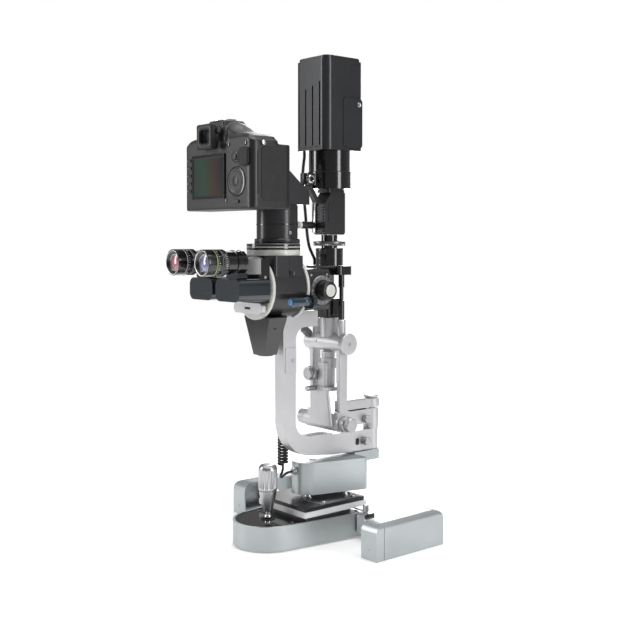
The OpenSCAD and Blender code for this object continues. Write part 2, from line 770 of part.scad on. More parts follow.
module lamp_flange() {
    flange_screw();
    color("black") {
        rod_z([0, tower_y, flange_z], 58, 22.9);
        round_block([-7, tower_y - 48, flange_z + 4], [7, tower_y - 20, flange_z + 20], 5);
        rod_z([0, tower_y, flange_z + 22.9], 56, lamp_z - flange_z - 23);
    }
}
module flange_screw() {
    color("silver") translate([7.4, tower_y - 42, flange_z + 12]) rotate([0, 90, 0]) knob(11, 6, 1);
}
module lamp_housing() {
    x = lamp_w / 2;
    y = lamp_deep / 2;
    top = lamp_z + lamp_h;
    color("dimgray") difference() {
        union() {
            round_block([-x, tower_y - y, lamp_z], [x, tower_y + y, top - 4], 10);
            round_block([-x + 2, tower_y - y + 2, top - 4], [x - 2, tower_y + y - 2, top], 9);
        }
        for (i = [0:3]) block([14.5 * i - 25.3, tower_y - y - 1, lamp_z + 6],
            [14.5 * i - 22.7, tower_y - y + 2.5, top - 46 + 4 * i]);
        round_block_x([x - 1.6, tower_y - y + 30, lamp_z + 3], [x + 1, tower_y + y - 3, lamp_z + 71], 6);
        round_block_x([x - 0.8, tower_y - y + 45, lamp_z + 73], [x + 1, tower_y + y - 3, top - 8], 2);
    }
}
module lamp_door() {
    x = lamp_w / 2;
    y = lamp_deep / 2;
    color("dimgray") {
        round_block_x([x - 1.5, tower_y - y + 30.4, lamp_z + 3.4],
            [x + 0.6, tower_y + y - 3.4, lamp_z + 70.6], 5.6);
        rod_x([x + 0.6, tower_y - y + 58, lamp_z + 62], 5, 1);
    }
}
// Route of the lamp lead, from the lamp's underside to the tower plate
lead_route = [[-16, tower_y - 31, lamp_z - 0.1], [-16, tower_y - 31, 509], [-16, tower_y - 33, 495],
    [-16, tower_y - 34, 480], [-16, tower_y - 33, 460], [-16, tower_y - 30, 440],
    [-17, tower_y - 27, 420], [-18, tower_y - 24, 402], [-19, tower_y - 20, 388],
    [-20, tower_y - 14, 378], [-21, tower_y - 9, 370], [-21, tower_y - 9, plate_z + 12.1]];
module lamp_lead() { color("black") sweep(lead_route, 4, 8); }

rails();
rail_cover_left();
rail_cover_right();
axle_sleeve();
axle();
base_shell();
base_top_plate();
bearing_blocks();
clamp_block();
lock_screw();
slide_tray();
tray_pad();
guide_posts();
joystick_ball();
joystick_shaft();
joystick_grip();
column_housing();
housing_lid();
pivot_bracket();
pivot_shaft();
microscope_arm();
arm_cover_plate();
arm_clamp_screw();
coil_cable();
cable_tail();
microscope_body();
body_rings();
lower_housing();
changer_housing();
changer_knob();
splitter_lever();
binocular_head();
prism_box_left();
prism_box_right();
eyepiece_left();
eyepiece_right();
port_ring();
adapter_tube();
camera_body();
camera_screen();
quick_dial();
mode_dial();
shutter_button();
illumination_arm();
illum_clamp_screw();
slit_barrel();
slit_knobs();
tilt_latch();
centre_column();
decentring_knob();
upper_barrel();
mirror_head();
tower_plate();
diaphragm_ring();
filter_box();
rotation_handle();
lamp_flange();
lamp_housing();
lamp_door();
lamp_lead();
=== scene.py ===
"""Slit lamp with a camera: looks, small parts, cords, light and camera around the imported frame."""
import math
import json

import bmesh
import bpy
from mathutils import Matrix, Vector


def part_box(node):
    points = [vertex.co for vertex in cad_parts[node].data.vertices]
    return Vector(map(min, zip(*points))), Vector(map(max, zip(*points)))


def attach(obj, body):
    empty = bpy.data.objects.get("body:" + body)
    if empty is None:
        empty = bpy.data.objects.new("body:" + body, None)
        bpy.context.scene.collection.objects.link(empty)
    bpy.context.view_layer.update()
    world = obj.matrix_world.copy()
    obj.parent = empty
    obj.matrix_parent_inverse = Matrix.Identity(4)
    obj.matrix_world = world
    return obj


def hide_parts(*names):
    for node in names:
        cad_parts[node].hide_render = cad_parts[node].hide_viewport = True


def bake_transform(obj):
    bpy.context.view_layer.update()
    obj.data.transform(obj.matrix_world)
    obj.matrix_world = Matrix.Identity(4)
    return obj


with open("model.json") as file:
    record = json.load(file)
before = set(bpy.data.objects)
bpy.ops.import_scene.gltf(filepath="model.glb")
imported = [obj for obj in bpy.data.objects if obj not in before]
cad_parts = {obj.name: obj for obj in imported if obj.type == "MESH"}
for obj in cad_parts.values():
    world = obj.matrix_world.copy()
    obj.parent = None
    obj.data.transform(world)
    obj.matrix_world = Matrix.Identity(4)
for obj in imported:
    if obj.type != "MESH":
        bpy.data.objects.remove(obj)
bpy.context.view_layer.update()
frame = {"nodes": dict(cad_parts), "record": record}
NODES = frame["nodes"]
MM = 0.001


# Heights and half widths on the object, in metres, and the floor's own light.
TOWER_PLATE_TOP = 0.3621
BARREL_AXIS = 0.257
OBJECTIVE_AXIS = 0.332
CAMERA_FOOT = 0.434
MICROSCOPE_SIDE = 0.036
FILTER_BOX_SIDE = 0.012
ARM_SIDE = 0.009
FLOOR_GLOW = 0.22


# ---- Places ----
def at(x, y, z):
    return Vector((x, y, z))


def extent(node):
    lowest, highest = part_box(node)
    return Vector(lowest), Vector(highest)


def low(node):
    return extent(node)[0]


def high(node):
    return extent(node)[1]


def centre(node):
    return (low(node) + high(node)) / 2


def placed(name, data):
    thing = bpy.data.objects.new(name, data)
    bpy.context.scene.collection.objects.link(thing)
    return thing


TOWER_Y = centre("diaphragm_ring").y


# ---- Camera ----
def make_camera():
    """The photograph's view: from the examiner's front right, a little below the microscope."""
    azimuth = math.radians(50)
    pitch = math.radians(1.9)
    distance, sideways, height = 1.300, 0.065, 0.397
    stick = centre("joystick_ball")
    right = at(math.cos(azimuth), math.sin(azimuth), 0)
    ahead = at(-math.sin(azimuth), math.cos(azimuth), 0)
    data = bpy.data.cameras.new("camera")
    data.lens, data.sensor_width = 56.7, 36
    data.shift_y = -0.070
    camera = placed("camera", data)
    camera.location = at(stick.x, stick.y, height) + right * sideways - ahead * distance
    look = ahead * math.cos(pitch) - at(0, 0, math.sin(pitch))
    camera.rotation_mode = "QUATERNION"
    camera.rotation_quaternion = look.to_track_quat("-Z", "Y")
    bpy.context.scene.camera = camera


make_camera()


# ---- Materials ----
def fill(node, **values):
    for socket, value in values.items():
        node.inputs[socket.replace("_", " ")].default_value = value


class Shader:
    """A node tree around one Principled shader."""

    def __init__(self, name, rough, metal=0.0, coat=0.0, ior=1.45):
        self.material = bpy.data.materials.new(name)
        self.material.use_nodes = True
        self.tree = self.material.node_tree
        self.base = self.tree.nodes["Principled BSDF"]
        fill(self.base, Metallic=metal, Roughness=rough, Coat_Weight=coat, Coat_Roughness=0.06, IOR=ior)
        self.where = self.add("ShaderNodeTexCoord").outputs["Object"]

    def add(self, kind, **settings):
        node = self.tree.nodes.new(kind)
        for key, value in settings.items():
            setattr(node, key, value)
        return node

    def link(self, a, b):
        self.tree.links.new(a, b)

    def stretched(self, scale):
        mapping = self.add("ShaderNodeMapping")
        fill(mapping, Scale=scale)
        self.link(self.where, mapping.inputs["Vector"])
        return mapping.outputs["Vector"]

    def noise(self, scale, detail=3.0, vector=None):
        node = self.add("ShaderNodeTexNoise")
        fill(node, Scale=scale, Detail=detail)
        self.link(vector or self.where, node.inputs["Vector"])
        return node.outputs["Fac"]

    def cells(self, scale):
        node = self.add("ShaderNodeTexVoronoi")
        fill(node, Scale=scale)
        self.link(self.where, node.inputs["Vector"])
        return node.outputs["Distance"]

    def ramp(self, value, stops):
        node = self.add("ShaderNodeValToRGB")
        self.link(value, node.inputs["Fac"])
        ramp = node.color_ramp
        for k, (place, colour) in enumerate(stops):
            stop = ramp.elements[k] if k < 2 else ramp.elements.new(place)
            stop.position = place
            stop.color = (*colour, 1)
        return node.outputs["Color"]

    def colour(self, value, dark, light, low_stop=0.35, high_stop=0.65):
        out = self.ramp(value, [(low_stop, dark), (high_stop, light)])
        self.link(out, self.base.inputs["Base Color"])

    def rough(self, value, least, most):
        node = self.add("ShaderNodeMapRange")
        fill(node, To_Min=least, To_Max=most)
        self.link(value, node.inputs["Value"])
        self.link(node.outputs["Result"], self.base.inputs["Roughness"])

    def bump(self, value, strength, depth):
        node = self.add("ShaderNodeBump")
        fill(node, Strength=strength, Distance=depth)
        self.link(value, node.inputs["Height"])
        self.link(node.outputs["Normal"], self.base.inputs["Normal"])


def scaled(colour, factor):
    return tuple(min(1.0, c * factor) for c in colour)


def painted(name, colour, rough, metal=0.5, coat=0.0, grain=900, spread=0.06, bump=0.12):
    """Satin paint: slow colour drift, fine grain in the gloss and a faint orange peel."""
    s = Shader(name, rough, metal, coat)
    s.colour(s.noise(14, 4), scaled(colour, 1 - spread), scaled(colour, 1 + spread))
    s.rough(s.noise(220, 5), rough * 0.85, rough * 1.2)
    s.bump(s.noise(grain, 3), bump, 0.00004)
    return s.material


def turned(name, colour, rough, metal=1.0):
    """Turned metal: fine rings round the local axes, with handling marks."""
    s = Shader(name, rough, metal)
    lines = s.noise(90, 2, s.stretched((1, 40, 40)))
    s.colour(lines, scaled(colour, 0.93), scaled(colour, 1.05))
    s.rough(s.noise(300, 4), rough * 0.9, rough * 1.2)
    s.bump(lines, 0.03, 0.00001)
    return s.material


def grained(name, colour, scale, strength, rough):
    """Moulded leather-like grain, for the camera's grip and panels."""
    s = Shader(name, rough)
    s.colour(s.noise(60, 4), scaled(colour, 0.8), scaled(colour, 1.3))
    s.rough(s.noise(400, 3), rough * 0.85, min(1, rough * 1.25))
    s.bump(s.cells(scale), strength, 0.0003)
    return s.material


def lens_glass(name, deep, tint):
    """A coated lens: deep centre, coloured reflections that drift over the surface."""
    s = Shader(name, 0.04, 0.0, 1.0, 1.6)
    s.colour(s.noise(45, 2), deep, tint, 0.3, 0.75)
    s.rough(s.noise(90, 2), 0.02, 0.08)
    return s.material


def screen_glass(name):
    """The camera's screen under glass: its colour is a painted reflection, dark green to violet across its
    width.
    """
    s = Shader(name, 0.06, 0.0, 1.0, 1.5)
    split = s.add("ShaderNodeSeparateXYZ")
    s.link(s.where, split.inputs["Vector"])
    box_low, box_high = extent("camera_screen")
    across = s.add("ShaderNodeMapRange")
    fill(across, From_Min=box_low.x, From_Max=box_high.x)
    s.link(split.outputs["X"], across.inputs["Value"])
    # Painted reflection: the base colour runs from dark green to reddish across the screen's width, with a
    # noise drift.
    stops = [(0.0, (0.020, 0.032, 0.030)), (0.3, (0.018, 0.055, 0.034)), (0.5, (0.030, 0.040, 0.018)),
        (0.72, (0.050, 0.022, 0.016)), (1.0, (0.008, 0.010, 0.014))]
    mixed = s.add("ShaderNodeMath", operation="ADD")
    s.link(across.outputs["Result"], mixed.inputs[0])
    drift = s.add("ShaderNodeMath", operation="MULTIPLY_ADD")
    drift.inputs[1].default_value, drift.inputs[2].default_value = 0.5, -0.25
    s.link(s.noise(18, 2), drift.inputs[0])
    s.link(drift.outputs[0], mixed.inputs[1])
    s.link(s.ramp(mixed.outputs[0], stops), s.base.inputs["Base Color"])
    s.rough(s.noise(60, 2), 0.04, 0.1)
    return s.material


MATERIALS = {row[1]: row[0](*row[1:]) for row in (
    (painted, "silver_paint", (0.40, 0.43, 0.435), 0.33, 0.70),
    (painted, "arm_paint", (0.52, 0.52, 0.53), 0.36, 0.60),
    (turned, "bright_metal", (0.80, 0.80, 0.81), 0.12),
    (turned, "turned_metal", (0.46, 0.46, 0.47), 0.30),
    (turned, "rail_steel", (0.22, 0.22, 0.23), 0.34),
    (painted, "black_plate", (0.006, 0.006, 0.007), 0.14, 0.0, 0.6, 500, 0.2, 0.03),
    (painted, "pad_black", (0.008, 0.008, 0.011), 0.38, 0.0, 0.0, 500, 0.2, 0.03),
    (painted, "white_plate", (0.66, 0.66, 0.67), 0.30, 0.0, 0.3),
    (painted, "black_enamel", (0.005, 0.005, 0.006), 0.17, 0.0, 0.8, 420, 0.25, 0.04),
    (painted, "dark_casting", (0.020, 0.0195, 0.022), 0.32, 0.1, 0.25, 1500, 0.12, 0.2),
    (painted, "ring_white", (0.58, 0.58, 0.55), 0.32, 0.0, 0.2),
    (painted, "prism_blue_grey", (0.016, 0.022, 0.027), 0.10, 0.1, 1.0, 420, 0.2, 0.03),
    (painted, "knob_black", (0.007, 0.007, 0.008), 0.36, 0.0, 0.1, 2200, 0.2, 0.3),
    (painted, "blue_cap", (0.016, 0.036, 0.062), 0.20, 0.1, 0.6),
    (painted, "camera_shell", (0.008, 0.008, 0.009), 0.40, 0.0, 0.15, 2600, 0.2, 0.45),
    (screen_glass, "screen_glass"),
    (painted, "cable_rubber", (0.007, 0.007, 0.007), 0.36, 0.0, 0.1, 1500, 0.2, 0.2),
    (painted, "lamp_paint", (0.026, 0.027, 0.030), 0.30, 0.3, 0.25, 1700, 0.10, 0.25),
    (grained, "leather", (0.008, 0.008, 0.009), 900, 0.7, 0.55),
    (grained, "rubber", (0.009, 0.009, 0.010), 2400, 0.25, 0.6),
    (lens_glass, "lens_blue", (0.10, 0.10, 0.22), (0.42, 0.42, 0.66)),
    (lens_glass, "lens_pink", (0.30, 0.07, 0.10), (0.68, 0.30, 0.36)),
    (lens_glass, "lens_clear", (0.02, 0.03, 0.04), (0.10, 0.15, 0.20)),
    (painted, "mark_white", (0.62, 0.62, 0.62), 0.5, 0.0),
    (painted, "mark_green", (0.42, 0.55, 0.16), 0.45, 0.0),
    (painted, "blue_disc", (0.16, 0.36, 0.66), 0.25, 0.0, 0.5),
    # seam_dark is near-black: the dark joints, and painted shade where it fills holes, slots, vents, groove
    # floors and a recess.
    (painted, "seam_dark", (0.008, 0.008, 0.009), 0.6, 0.0),
)}
for node_name, node in NODES.items():
    slots = frame["record"]["subparts"]
    slot_name = next(row["material_slot"] for row in slots if row["node"] == node_name)
    node.data.materials.clear()
    node.data.materials.append(MATERIALS[slot_name])


# ---- Softer edges on the machined and cast nodes ----
EDGE = {
    "column_housing": 1.6, "housing_lid": 0.8, "base_shell": 0.7, "microscope_arm": 0.8, "lamp_housing": 0.8,
    "illumination_arm": 0.7, "slit_barrel": 0.5, "centre_column": 0.5, "upper_barrel": 0.6,
    "adapter_tube": 0.8, "binocular_head": 1.6, "lower_housing": 1.8,
    "microscope_body": 0.9, "changer_housing": 0.9, "prism_box_left": 2.2, "prism_box_right": 2.2,
    "slide_tray": 0.5, "tray_pad": 0.6, "clamp_block": 0.7, "pivot_bracket": 0.8, "lamp_door": 0.4,
    "filter_box": 0.5, "tower_plate": 0.7, "lamp_flange": 0.7, "port_ring": 0.5, "body_rings": 0.6,
    "rail_cover_left": 0.3, "rail_cover_right": 0.3, "mirror_head": 0.5,
    "arm_cover_plate": 0.25,
}
for node_name, width in EDGE.items():
    soft = NODES[node_name].modifiers.new("soft_edge", "BEVEL")
    soft.width = width * MM
    soft.segments = 2
    soft.limit_method = "ANGLE"
    soft.angle_limit = math.radians(35)
    soft.harden_normals = True


# ---- Mesh helpers ----
AXES = {
    name: Matrix.Rotation(math.radians(angle), 4, around) for name, angle, around in
    (("x", 90, "Y"), ("-x", -90, "Y"), ("y", -90, "X"), ("-y", 90, "X"), ("z", 0, "X"), ("-z", 180, "X"))
}


def finish_piece(name, mesh_data, body, slot_name, smooth=35, bevel=0.0, replaces=()):
    """A mesh made from bmesh data, shaded, given its material, and put on its body."""
    bmesh.ops.recalc_face_normals(mesh_data, faces=mesh_data.faces)
    mesh = bpy.data.meshes.new(name)
    mesh_data.to_mesh(mesh)
    mesh_data.free()
    piece = placed(name, mesh)
    mesh.materials.append(MATERIALS[slot_name])
    mesh.shade_smooth()
    mesh.set_sharp_from_angle(angle=math.radians(smooth))
    if bevel:
        soft = piece.modifiers.new("soft_edge", "BEVEL")
        soft.width, soft.segments, soft.limit_method = bevel * MM, 2, "ANGLE"
        soft.angle_limit = math.radians(40)
    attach(piece, body)
    if replaces:
        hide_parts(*replaces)
    return piece


def add_lathe(mesh_data, profile, place, axis="z", steps=64, teeth=0, tooth=0.0, toothed=(), hollow=False):
    """Revolves (radius, height) points in mm. Points whose index is in toothed get teeth of that depth.
    A hollow one joins its last point to its first, so it is a ring with a hole through it."""
    turn = Matrix.Translation(place) @ AXES[axis]
    rings = []
    for index, (radius, height) in enumerate(profile):
        ring = []
        for k in range(steps):
            angle = 2 * math.pi * k / steps
            r = radius
            if teeth and index in toothed:
                r -= tooth * (0.5 - 0.5 * math.cos(angle * teeth))
            point = at(r * MM * math.cos(angle), r * MM * math.sin(angle), height * MM)
            ring.append(mesh_data.verts.new(turn @ point))
        rings.append(ring)
    pairs = list(zip(rings, rings[1:]))
    if hollow:
        pairs.append((rings[-1], rings[0]))
    else:
        mesh_data.faces.new(list(reversed(rings[0])))
        mesh_data.faces.new(rings[-1])
    for a, b in pairs:
        for k in range(steps):
            n = (k + 1) % steps
            mesh_data.faces.new((a[k], a[n], b[n], b[k]))


def knurl(teeth, depth, *rings):
    return {"teeth": teeth, "tooth": depth, "toothed": rings}


def lathe(name, profile, place, axis, body, slot_name, replaces=(), **kw):
    data = bmesh.new()
    add_lathe(data, profile, place, axis, **kw)
    return finish_piece(name, data, body, slot_name, replaces=replaces)


def add_box(mesh_data, lowest, highest, radius=0.0, axis=1, corner_steps=5):
    """A box with rounded edges along one axis, as a closed prism, corners in metres."""
    others = [i for i in range(3) if i != axis]
    a, b = others
    r = min(radius * MM, (highest[a] - lowest[a]) / 2.01, (highest[b] - lowest[b]) / 2.01)
    outline = []
    for q, (sa, sb) in enumerate(((1, 1), (-1, 1), (-1, -1), (1, -1))):
        ca = (highest[a] - r) if sa > 0 else (lowest[a] + r)
        cb = (highest[b] - r) if sb > 0 else (lowest[b] + r)
        steps = corner_steps if r > 0 else 0
        for k in range(steps + 1):
            angle = math.radians(90 * q + (90 * k / steps if steps else 0))
            outline.append((ca + r * math.cos(angle), cb + r * math.sin(angle)))
    ends = []
    for level in (lowest[axis], highest[axis]):
        ring = []
        for u, v in outline:
            point = [0, 0, 0]
            point[a], point[b], point[axis] = u, v, level
            ring.append(mesh_data.verts.new(point))
        ends.append(ring)
    count = len(outline)
    for k in range(count):
        n = (k + 1) % count
        mesh_data.faces.new((ends[0][k], ends[0][n], ends[1][n], ends[1][k]))
    mesh_data.faces.new(list(reversed(ends[0])))
    mesh_data.faces.new(ends[1])


def add_slab(mesh_data, *sides):
    """A closed slab between two rows of four corners."""
    top, foot = [[mesh_data.verts.new(corner) for corner in side] for side in sides]
    mesh_data.faces.new(top)
    mesh_data.faces.new(list(reversed(foot)))
    for i in range(4):
        j = (i + 1) % 4
        mesh_data.faces.new((top[i], foot[i], foot[j], top[j]))


def boxes(name, rows, body, slot_name, bevel=0.25, replaces=()):
    """Several rounded boxes as one piece. Each row is lowest, highest, radius in mm, axis."""
    data = bmesh.new()
    for lowest, highest, radius, axis in rows:
        add_box(data, lowest, highest, radius, axis)
    return finish_piece(name, data, body, slot_name, 40, bevel, replaces)


def lathes(name, rows, body, slot_name):
    """Several turned shapes as one piece. Each row is add_lathe's profile, place and so on."""
    data = bmesh.new()
    for row in rows:
        add_lathe(data, *row)
    return finish_piece(name, data, body, slot_name)


def knob_profile(radius, length, dish=0.5):
    """A knob: chamfered foot, knurled band, groove, rim and a slightly dished face."""
    return [
        (radius * 0.55, 0), (radius - 0.9, 0), (radius, 0.8), (radius, length * 0.62),
        (radius - 0.7, length * 0.62 + 0.4), (radius - 0.7, length * 0.62 + 0.9),
        (radius - 0.1, length * 0.62 + 1.3), (radius - 0.1, length - 0.7), (radius - 0.8, length),
        (radius * 0.62, length), (radius * 0.55, length - dish), (radius * 0.22, length - dish),
        (radius * 0.18, length - dish - 0.8),
    ]


def knob(name, place, axis, radius, length, body, slot_name="turned_metal", teeth=36, replaces=()):
    return lathe(name, knob_profile(radius, length), place, axis, body, slot_name, replaces, steps=teeth * 4,
        teeth=teeth, tooth=0.45, toothed=(2, 3))


def screw_heads(name, places, axis, body, slot_name="turned_metal", radius=2.2, height=1.0):
    """Socket head screws: a chamfered disc with a sunk six-sided socket."""
    head = [(radius * 0.9, 0), (radius, 0.15), (radius, height - 0.3), (radius - 0.3, height),
        (radius * 0.5, height), (radius * 0.46, height * 0.35)]
    return lathes(name, [(head, place, axis, 24) for place in places], body, slot_name)


def tube(name, points, diameter, body, slot_name, replaces=(), resolution=8):
    """A round lead along points: a curve of one open spline on body, or a free mesh where body is None."""
    curve = bpy.data.curves.new(name, "CURVE")
    curve.dimensions = "3D"
    curve.bevel_depth = diameter / 2
    curve.bevel_resolution = resolution
    curve.use_fill_caps = True
    spline = curve.splines.new("POLY")
    spline.points.add(len(points) - 1)
    for target, point in zip(spline.points, points):
        target.co = (*point, 1)
    curve.materials.append(MATERIALS[slot_name])
    piece = placed(name, curve)
    if body:
        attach(piece, body)
    else:
        bpy.context.view_layer.update()
        mesh = bpy.data.meshes.new_from_object(piece.evaluated_get(bpy.context.evaluated_depsgraph_get()))
        bpy.data.objects.remove(piece)
        piece = placed(name, mesh)
    if replaces:
        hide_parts(*replaces)
    return piece


def smooth_path(points, per=8):
    """Catmull-Rom points through the given ones."""
    pts = [Vector(p) for p in points]
    pts = [2 * pts[0] - pts[1]] + pts + [2 * pts[-1] - pts[-2]]
    out = []
    for i in range(1, len(pts) - 2):
        p0, p1, p2, p3 = pts[i - 1:i + 3]
        for k in range(per):
            t = k / per
            out.append(0.5 * ((2 * p1) + (p2 - p0) * t + (2 * p0 - 5 * p1 + 4 * p2 - p3) * t * t
                + (3 * p1 - p0 - 3 * p2 + p3) * t ** 3))
    out.append(pts[-2])
    return out


# ---- Cords ----
def curly_cable():
    """The curly cable: a helix inside its CAD solid, then the tail's own route."""
    lo, hi = extent("coil_cable")
    mid = (lo + hi) / 2
    wire, turns, steps = 0.0032, 14, 20
    radius = (hi.x - lo.x) / 2 - wire / 2
    points = [at(mid.x, mid.y, hi.z)]
    total = turns * steps
    for k in range(total + 1):
        share = k / total
        angle = 2 * math.pi * k / steps
        grow = min(1, k / 6, (total - k) / 6)
        points.append(at(mid.x + radius * grow * math.cos(angle), mid.y + radius * grow * math.sin(angle),
            hi.z - 0.0015 - share * (hi.z - lo.z - 0.003)))
    coil_y = mid.y
    route = [(-18, 0, 93), (-18, 0, 88.5), (-17.5, -2, 84), (-15.5, -5.5, 81), (-11.5, -9, 80),
        (-6.5, -10.5, 81.5), (-2.5, -9, 85), (-0.5, -5, 87.5), (0, -2, 88), (0, 1, 88)]
    tail = smooth_path([at(x * MM, coil_y + y * MM, z * MM) for x, y, z in route])
    points += tail
    piece = tube("curly_cable", points, wire, None, "cable_rubber", ("coil_cable", "cable_tail"))
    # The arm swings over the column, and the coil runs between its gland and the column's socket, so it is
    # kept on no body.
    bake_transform(piece)


def lamp_lead():
    """The lead from the lamp's underside to the tower plate."""
    lamp_z = low("lamp_housing").z
    route = [(-16, -31, 509), (-16, -33, 495), (-16, -34, 480), (-16, -33, 460), (-16, -30, 440),
        (-17, -27, 420), (-18, -24, 402), (-19, -20, 388), (-20, -14, 378), (-21, -9, 370)]
    points = [at(-0.016, TOWER_Y - 0.031, lamp_z - 0.0001)]
    points += [at(x * MM, TOWER_Y + y * MM, z * MM) for x, y, z in route]
    points.append(at(-0.021, TOWER_Y - 0.009, TOWER_PLATE_TOP))
    points = smooth_path(points)
    piece = tube("lamp_lead_cable", points, 0.004, "tower", "cable_rubber", ("lamp_lead",))


curly_cable()
lamp_lead()


# ---- Base, joystick and rails ----
def base_details():
    back_y = high("base_shell").y
    stick = centre("joystick_ball")
    plate_top = high("base_top_plate").z
    lathe("joystick_collar", [(9.5, 0), (9.5, 0.7), (8.6, 1.2), (7.2, 1.2), (6.4, 0.6), (6.4, 0)],
        at(stick.x, stick.y, plate_top), "z", "base", "seam_dark")
    spots = [at(x, y, plate_top) for x, y in ((-0.046, back_y - 0.010), (0.046, back_y - 0.010),
        (-0.036, stick.y + 0.012), (0.036, stick.y + 0.012))]
    screw_heads("plate_screws", spots, "z", "base", "rail_steel", 2.4, 0.8)
    tray = extent("slide_tray")
    pad_top = high("tray_pad").z
    boxes("tray_strip", [(at(tray[0].x + 0.052, tray[0].y + 0.030, pad_top - 0.0002),
        at(tray[1].x - 0.004, tray[1].y - 0.006, pad_top + 0.0006), 1.5, 2)], "base", "rail_steel", 0.2)
    screw_heads("tray_screws", [at(tray[1].x - 0.010, tray[0].y + d, pad_top + 0.0005)
        for d in (0.040, 0.092)], "z", "base", "bright_metal", 2.6, 1.4)


def joystick_details():
    mid = centre("joystick_shaft")
    place = at(mid.x, mid.y, low("joystick_shaft").z)
    profile = [(3.0, 0.0), (2.6, 1.2), (3.8, 2.2), (4.2, 3.0), (6.4, 3.2), (6.6, 4.0), (11.8, 28.6),
        (12.0, 29.2), (11.6, 29.6), (10.6, 29.7), (10.6, 30.4)]
    lathe("joystick_taper", profile, place, "z", "stick_shaft", "turned_metal", ("joystick_shaft",))
    (grip_lo, grip_hi), mid = extent("joystick_grip"), centre("joystick_grip")
    place = at(mid.x, mid.y, grip_lo.z)
    tall = (grip_hi.z - grip_lo.z) / MM
    radius = (grip_hi.x - grip_lo.x) / 2 / MM
    profile = [(radius - 1.4, 0), (radius - 0.5, 0.5), (radius - 0.1, 1.4), (radius, 3), (radius, 4),
        (radius, tall - 9), (radius, tall - 7.6), (radius - 0.2, tall - 5), (radius - 1.2, tall - 2.6),
        (radius - 3.0, tall - 0.8), (radius - 5.2, tall - 0.1), (radius * 0.3, tall)]
    lathe("joystick_fluted_grip", profile, place, "z", "stick_grip", "turned_metal", ("joystick_grip",),
        steps=240, **knurl(20, 0.95, 4, 5))


def rail_details():
    for side, node in ((1, "rail_cover_right"), (-1, "rail_cover_left")):
        lo, hi = extent(node)
        x = hi.x if side > 0 else lo.x
        screw_heads("cover_screw_" + node[-5:].strip("_"), [at(x - side * 0.0145, lo.y, 0.012)], "-y",
            "stand", "turned_metal", 2.0, 0.5)
        rail_x = 0.138 * side
        rows = []
        pitch, top = 0.0042, high("rails").z
        y = low("rails").y + 0.001
        while y < high("rails").y - 0.003:
            rows.append((at(rail_x - 0.0068, y, top - 0.002), at(rail_x + 0.0068, y + 0.0016, top + 0.00005),
                0, 1))
            y += pitch
        boxes("rail_teeth_" + ("right" if side > 0 else "left"), rows, "stand", "rail_steel", 0)
    mid = centre("lock_screw")
    foot = low("lock_screw").z + 0.0083
    knob("lock_knob", at(mid.x, mid.y, foot), "z", 4.15, 10.0, "lock", "turned_metal", 20)


# ---- Column ----
def column_details():
    lo, hi = extent("housing_lid")
    spots = [at(x, y, lo.z + 0.0024) for x, y in ((-0.028, hi.y - 0.010), (0.028, hi.y - 0.010))]
    screw_heads("lid_screws", spots, "z", "column", "turned_metal", 2.2, 0.5)
    socket_y = low("column_housing").y
    lathe("cable_socket_nut", [(4.3, 0), (5.2, 0.4), (5.2, 3.2), (4.6, 3.6), (4.1, 3.6)],
        at(0, socket_y + 0.0022, 0.088), "y", "column", "turned_metal", steps=48, **knurl(12, 0.4, 1, 2))
    pin = high("pivot_shaft")
    mid = centre("pivot_shaft")
    lathe("pivot_cap_cover", [(10.15, -3.2), (10.3, -2.6), (10.3, -0.9), (9.4, -0.1), (7.4, 0.25),
        (7.0, -0.3), (2.8, -0.3), (2.4, -1.4)], at(mid.x, mid.y, pin.z), "z", "column", "arm_paint")


# ---- Microscope arm ----
def arm_details():
    lo, hi = extent("arm_cover_plate")
    lathe("cover_plate_button", [(3.4, 0), (3.4, 0.25), (3.0, 0.45), (2.2, 0.3), (0.6, 0.3)],
        at(hi.x - 0.00045, lo.y + 0.0128, (lo.z + hi.z) / 2), "x", "scope", "silver_paint", steps=32)
    screw = centre("arm_clamp_screw")
    face = high("arm_clamp_screw").x
    knob("arm_clamp_knob", at(face - 0.0091, screw.y, screw.z), "x", 5.7, 9.4, "arm_clamp", "turned_metal",
        24)
    recess_y = screw.y - 0.012
    # Painted shade: a thin near-black patch on the arm's side stands for the shade in the clamp's recess.
    boxes("clamp_recess_painted_shade", [(at(ARM_SIDE - 0.0002, recess_y - 0.003, screw.z - 0.0045),
        at(ARM_SIDE + 0.0003, recess_y + 0.003, screw.z + 0.0045), 0.8, 0)], "scope", "seam_dark", 0)
    hub = high("illumination_arm")
    screw = centre("illum_clamp_screw")
    face = high("illum_clamp_screw").x
    knob("lamp_arm_clamp_knob", at(face - 0.0071, screw.y, screw.z), "x", 5.7, 7.4, "lamp_arm_clamp",
        "turned_metal", 24)
    top = hub.z
    boxes("lamp_arm_top_plate", [(at(-0.0078, TOWER_Y + 0.020, top - 0.0001),
        at(0.0078, hub.y - 0.028, top + 0.0018), 1.5, 2)], "lamp_arm", "arm_paint", 0.4)
    boxes("lamp_arm_gap_line", [(at(-0.0092, TOWER_Y + 0.0178, top - 0.0140),
        at(0.0092, hub.y - 0.030, top - 0.0122), 0, 0)], "lamp_arm", "seam_dark", 0)


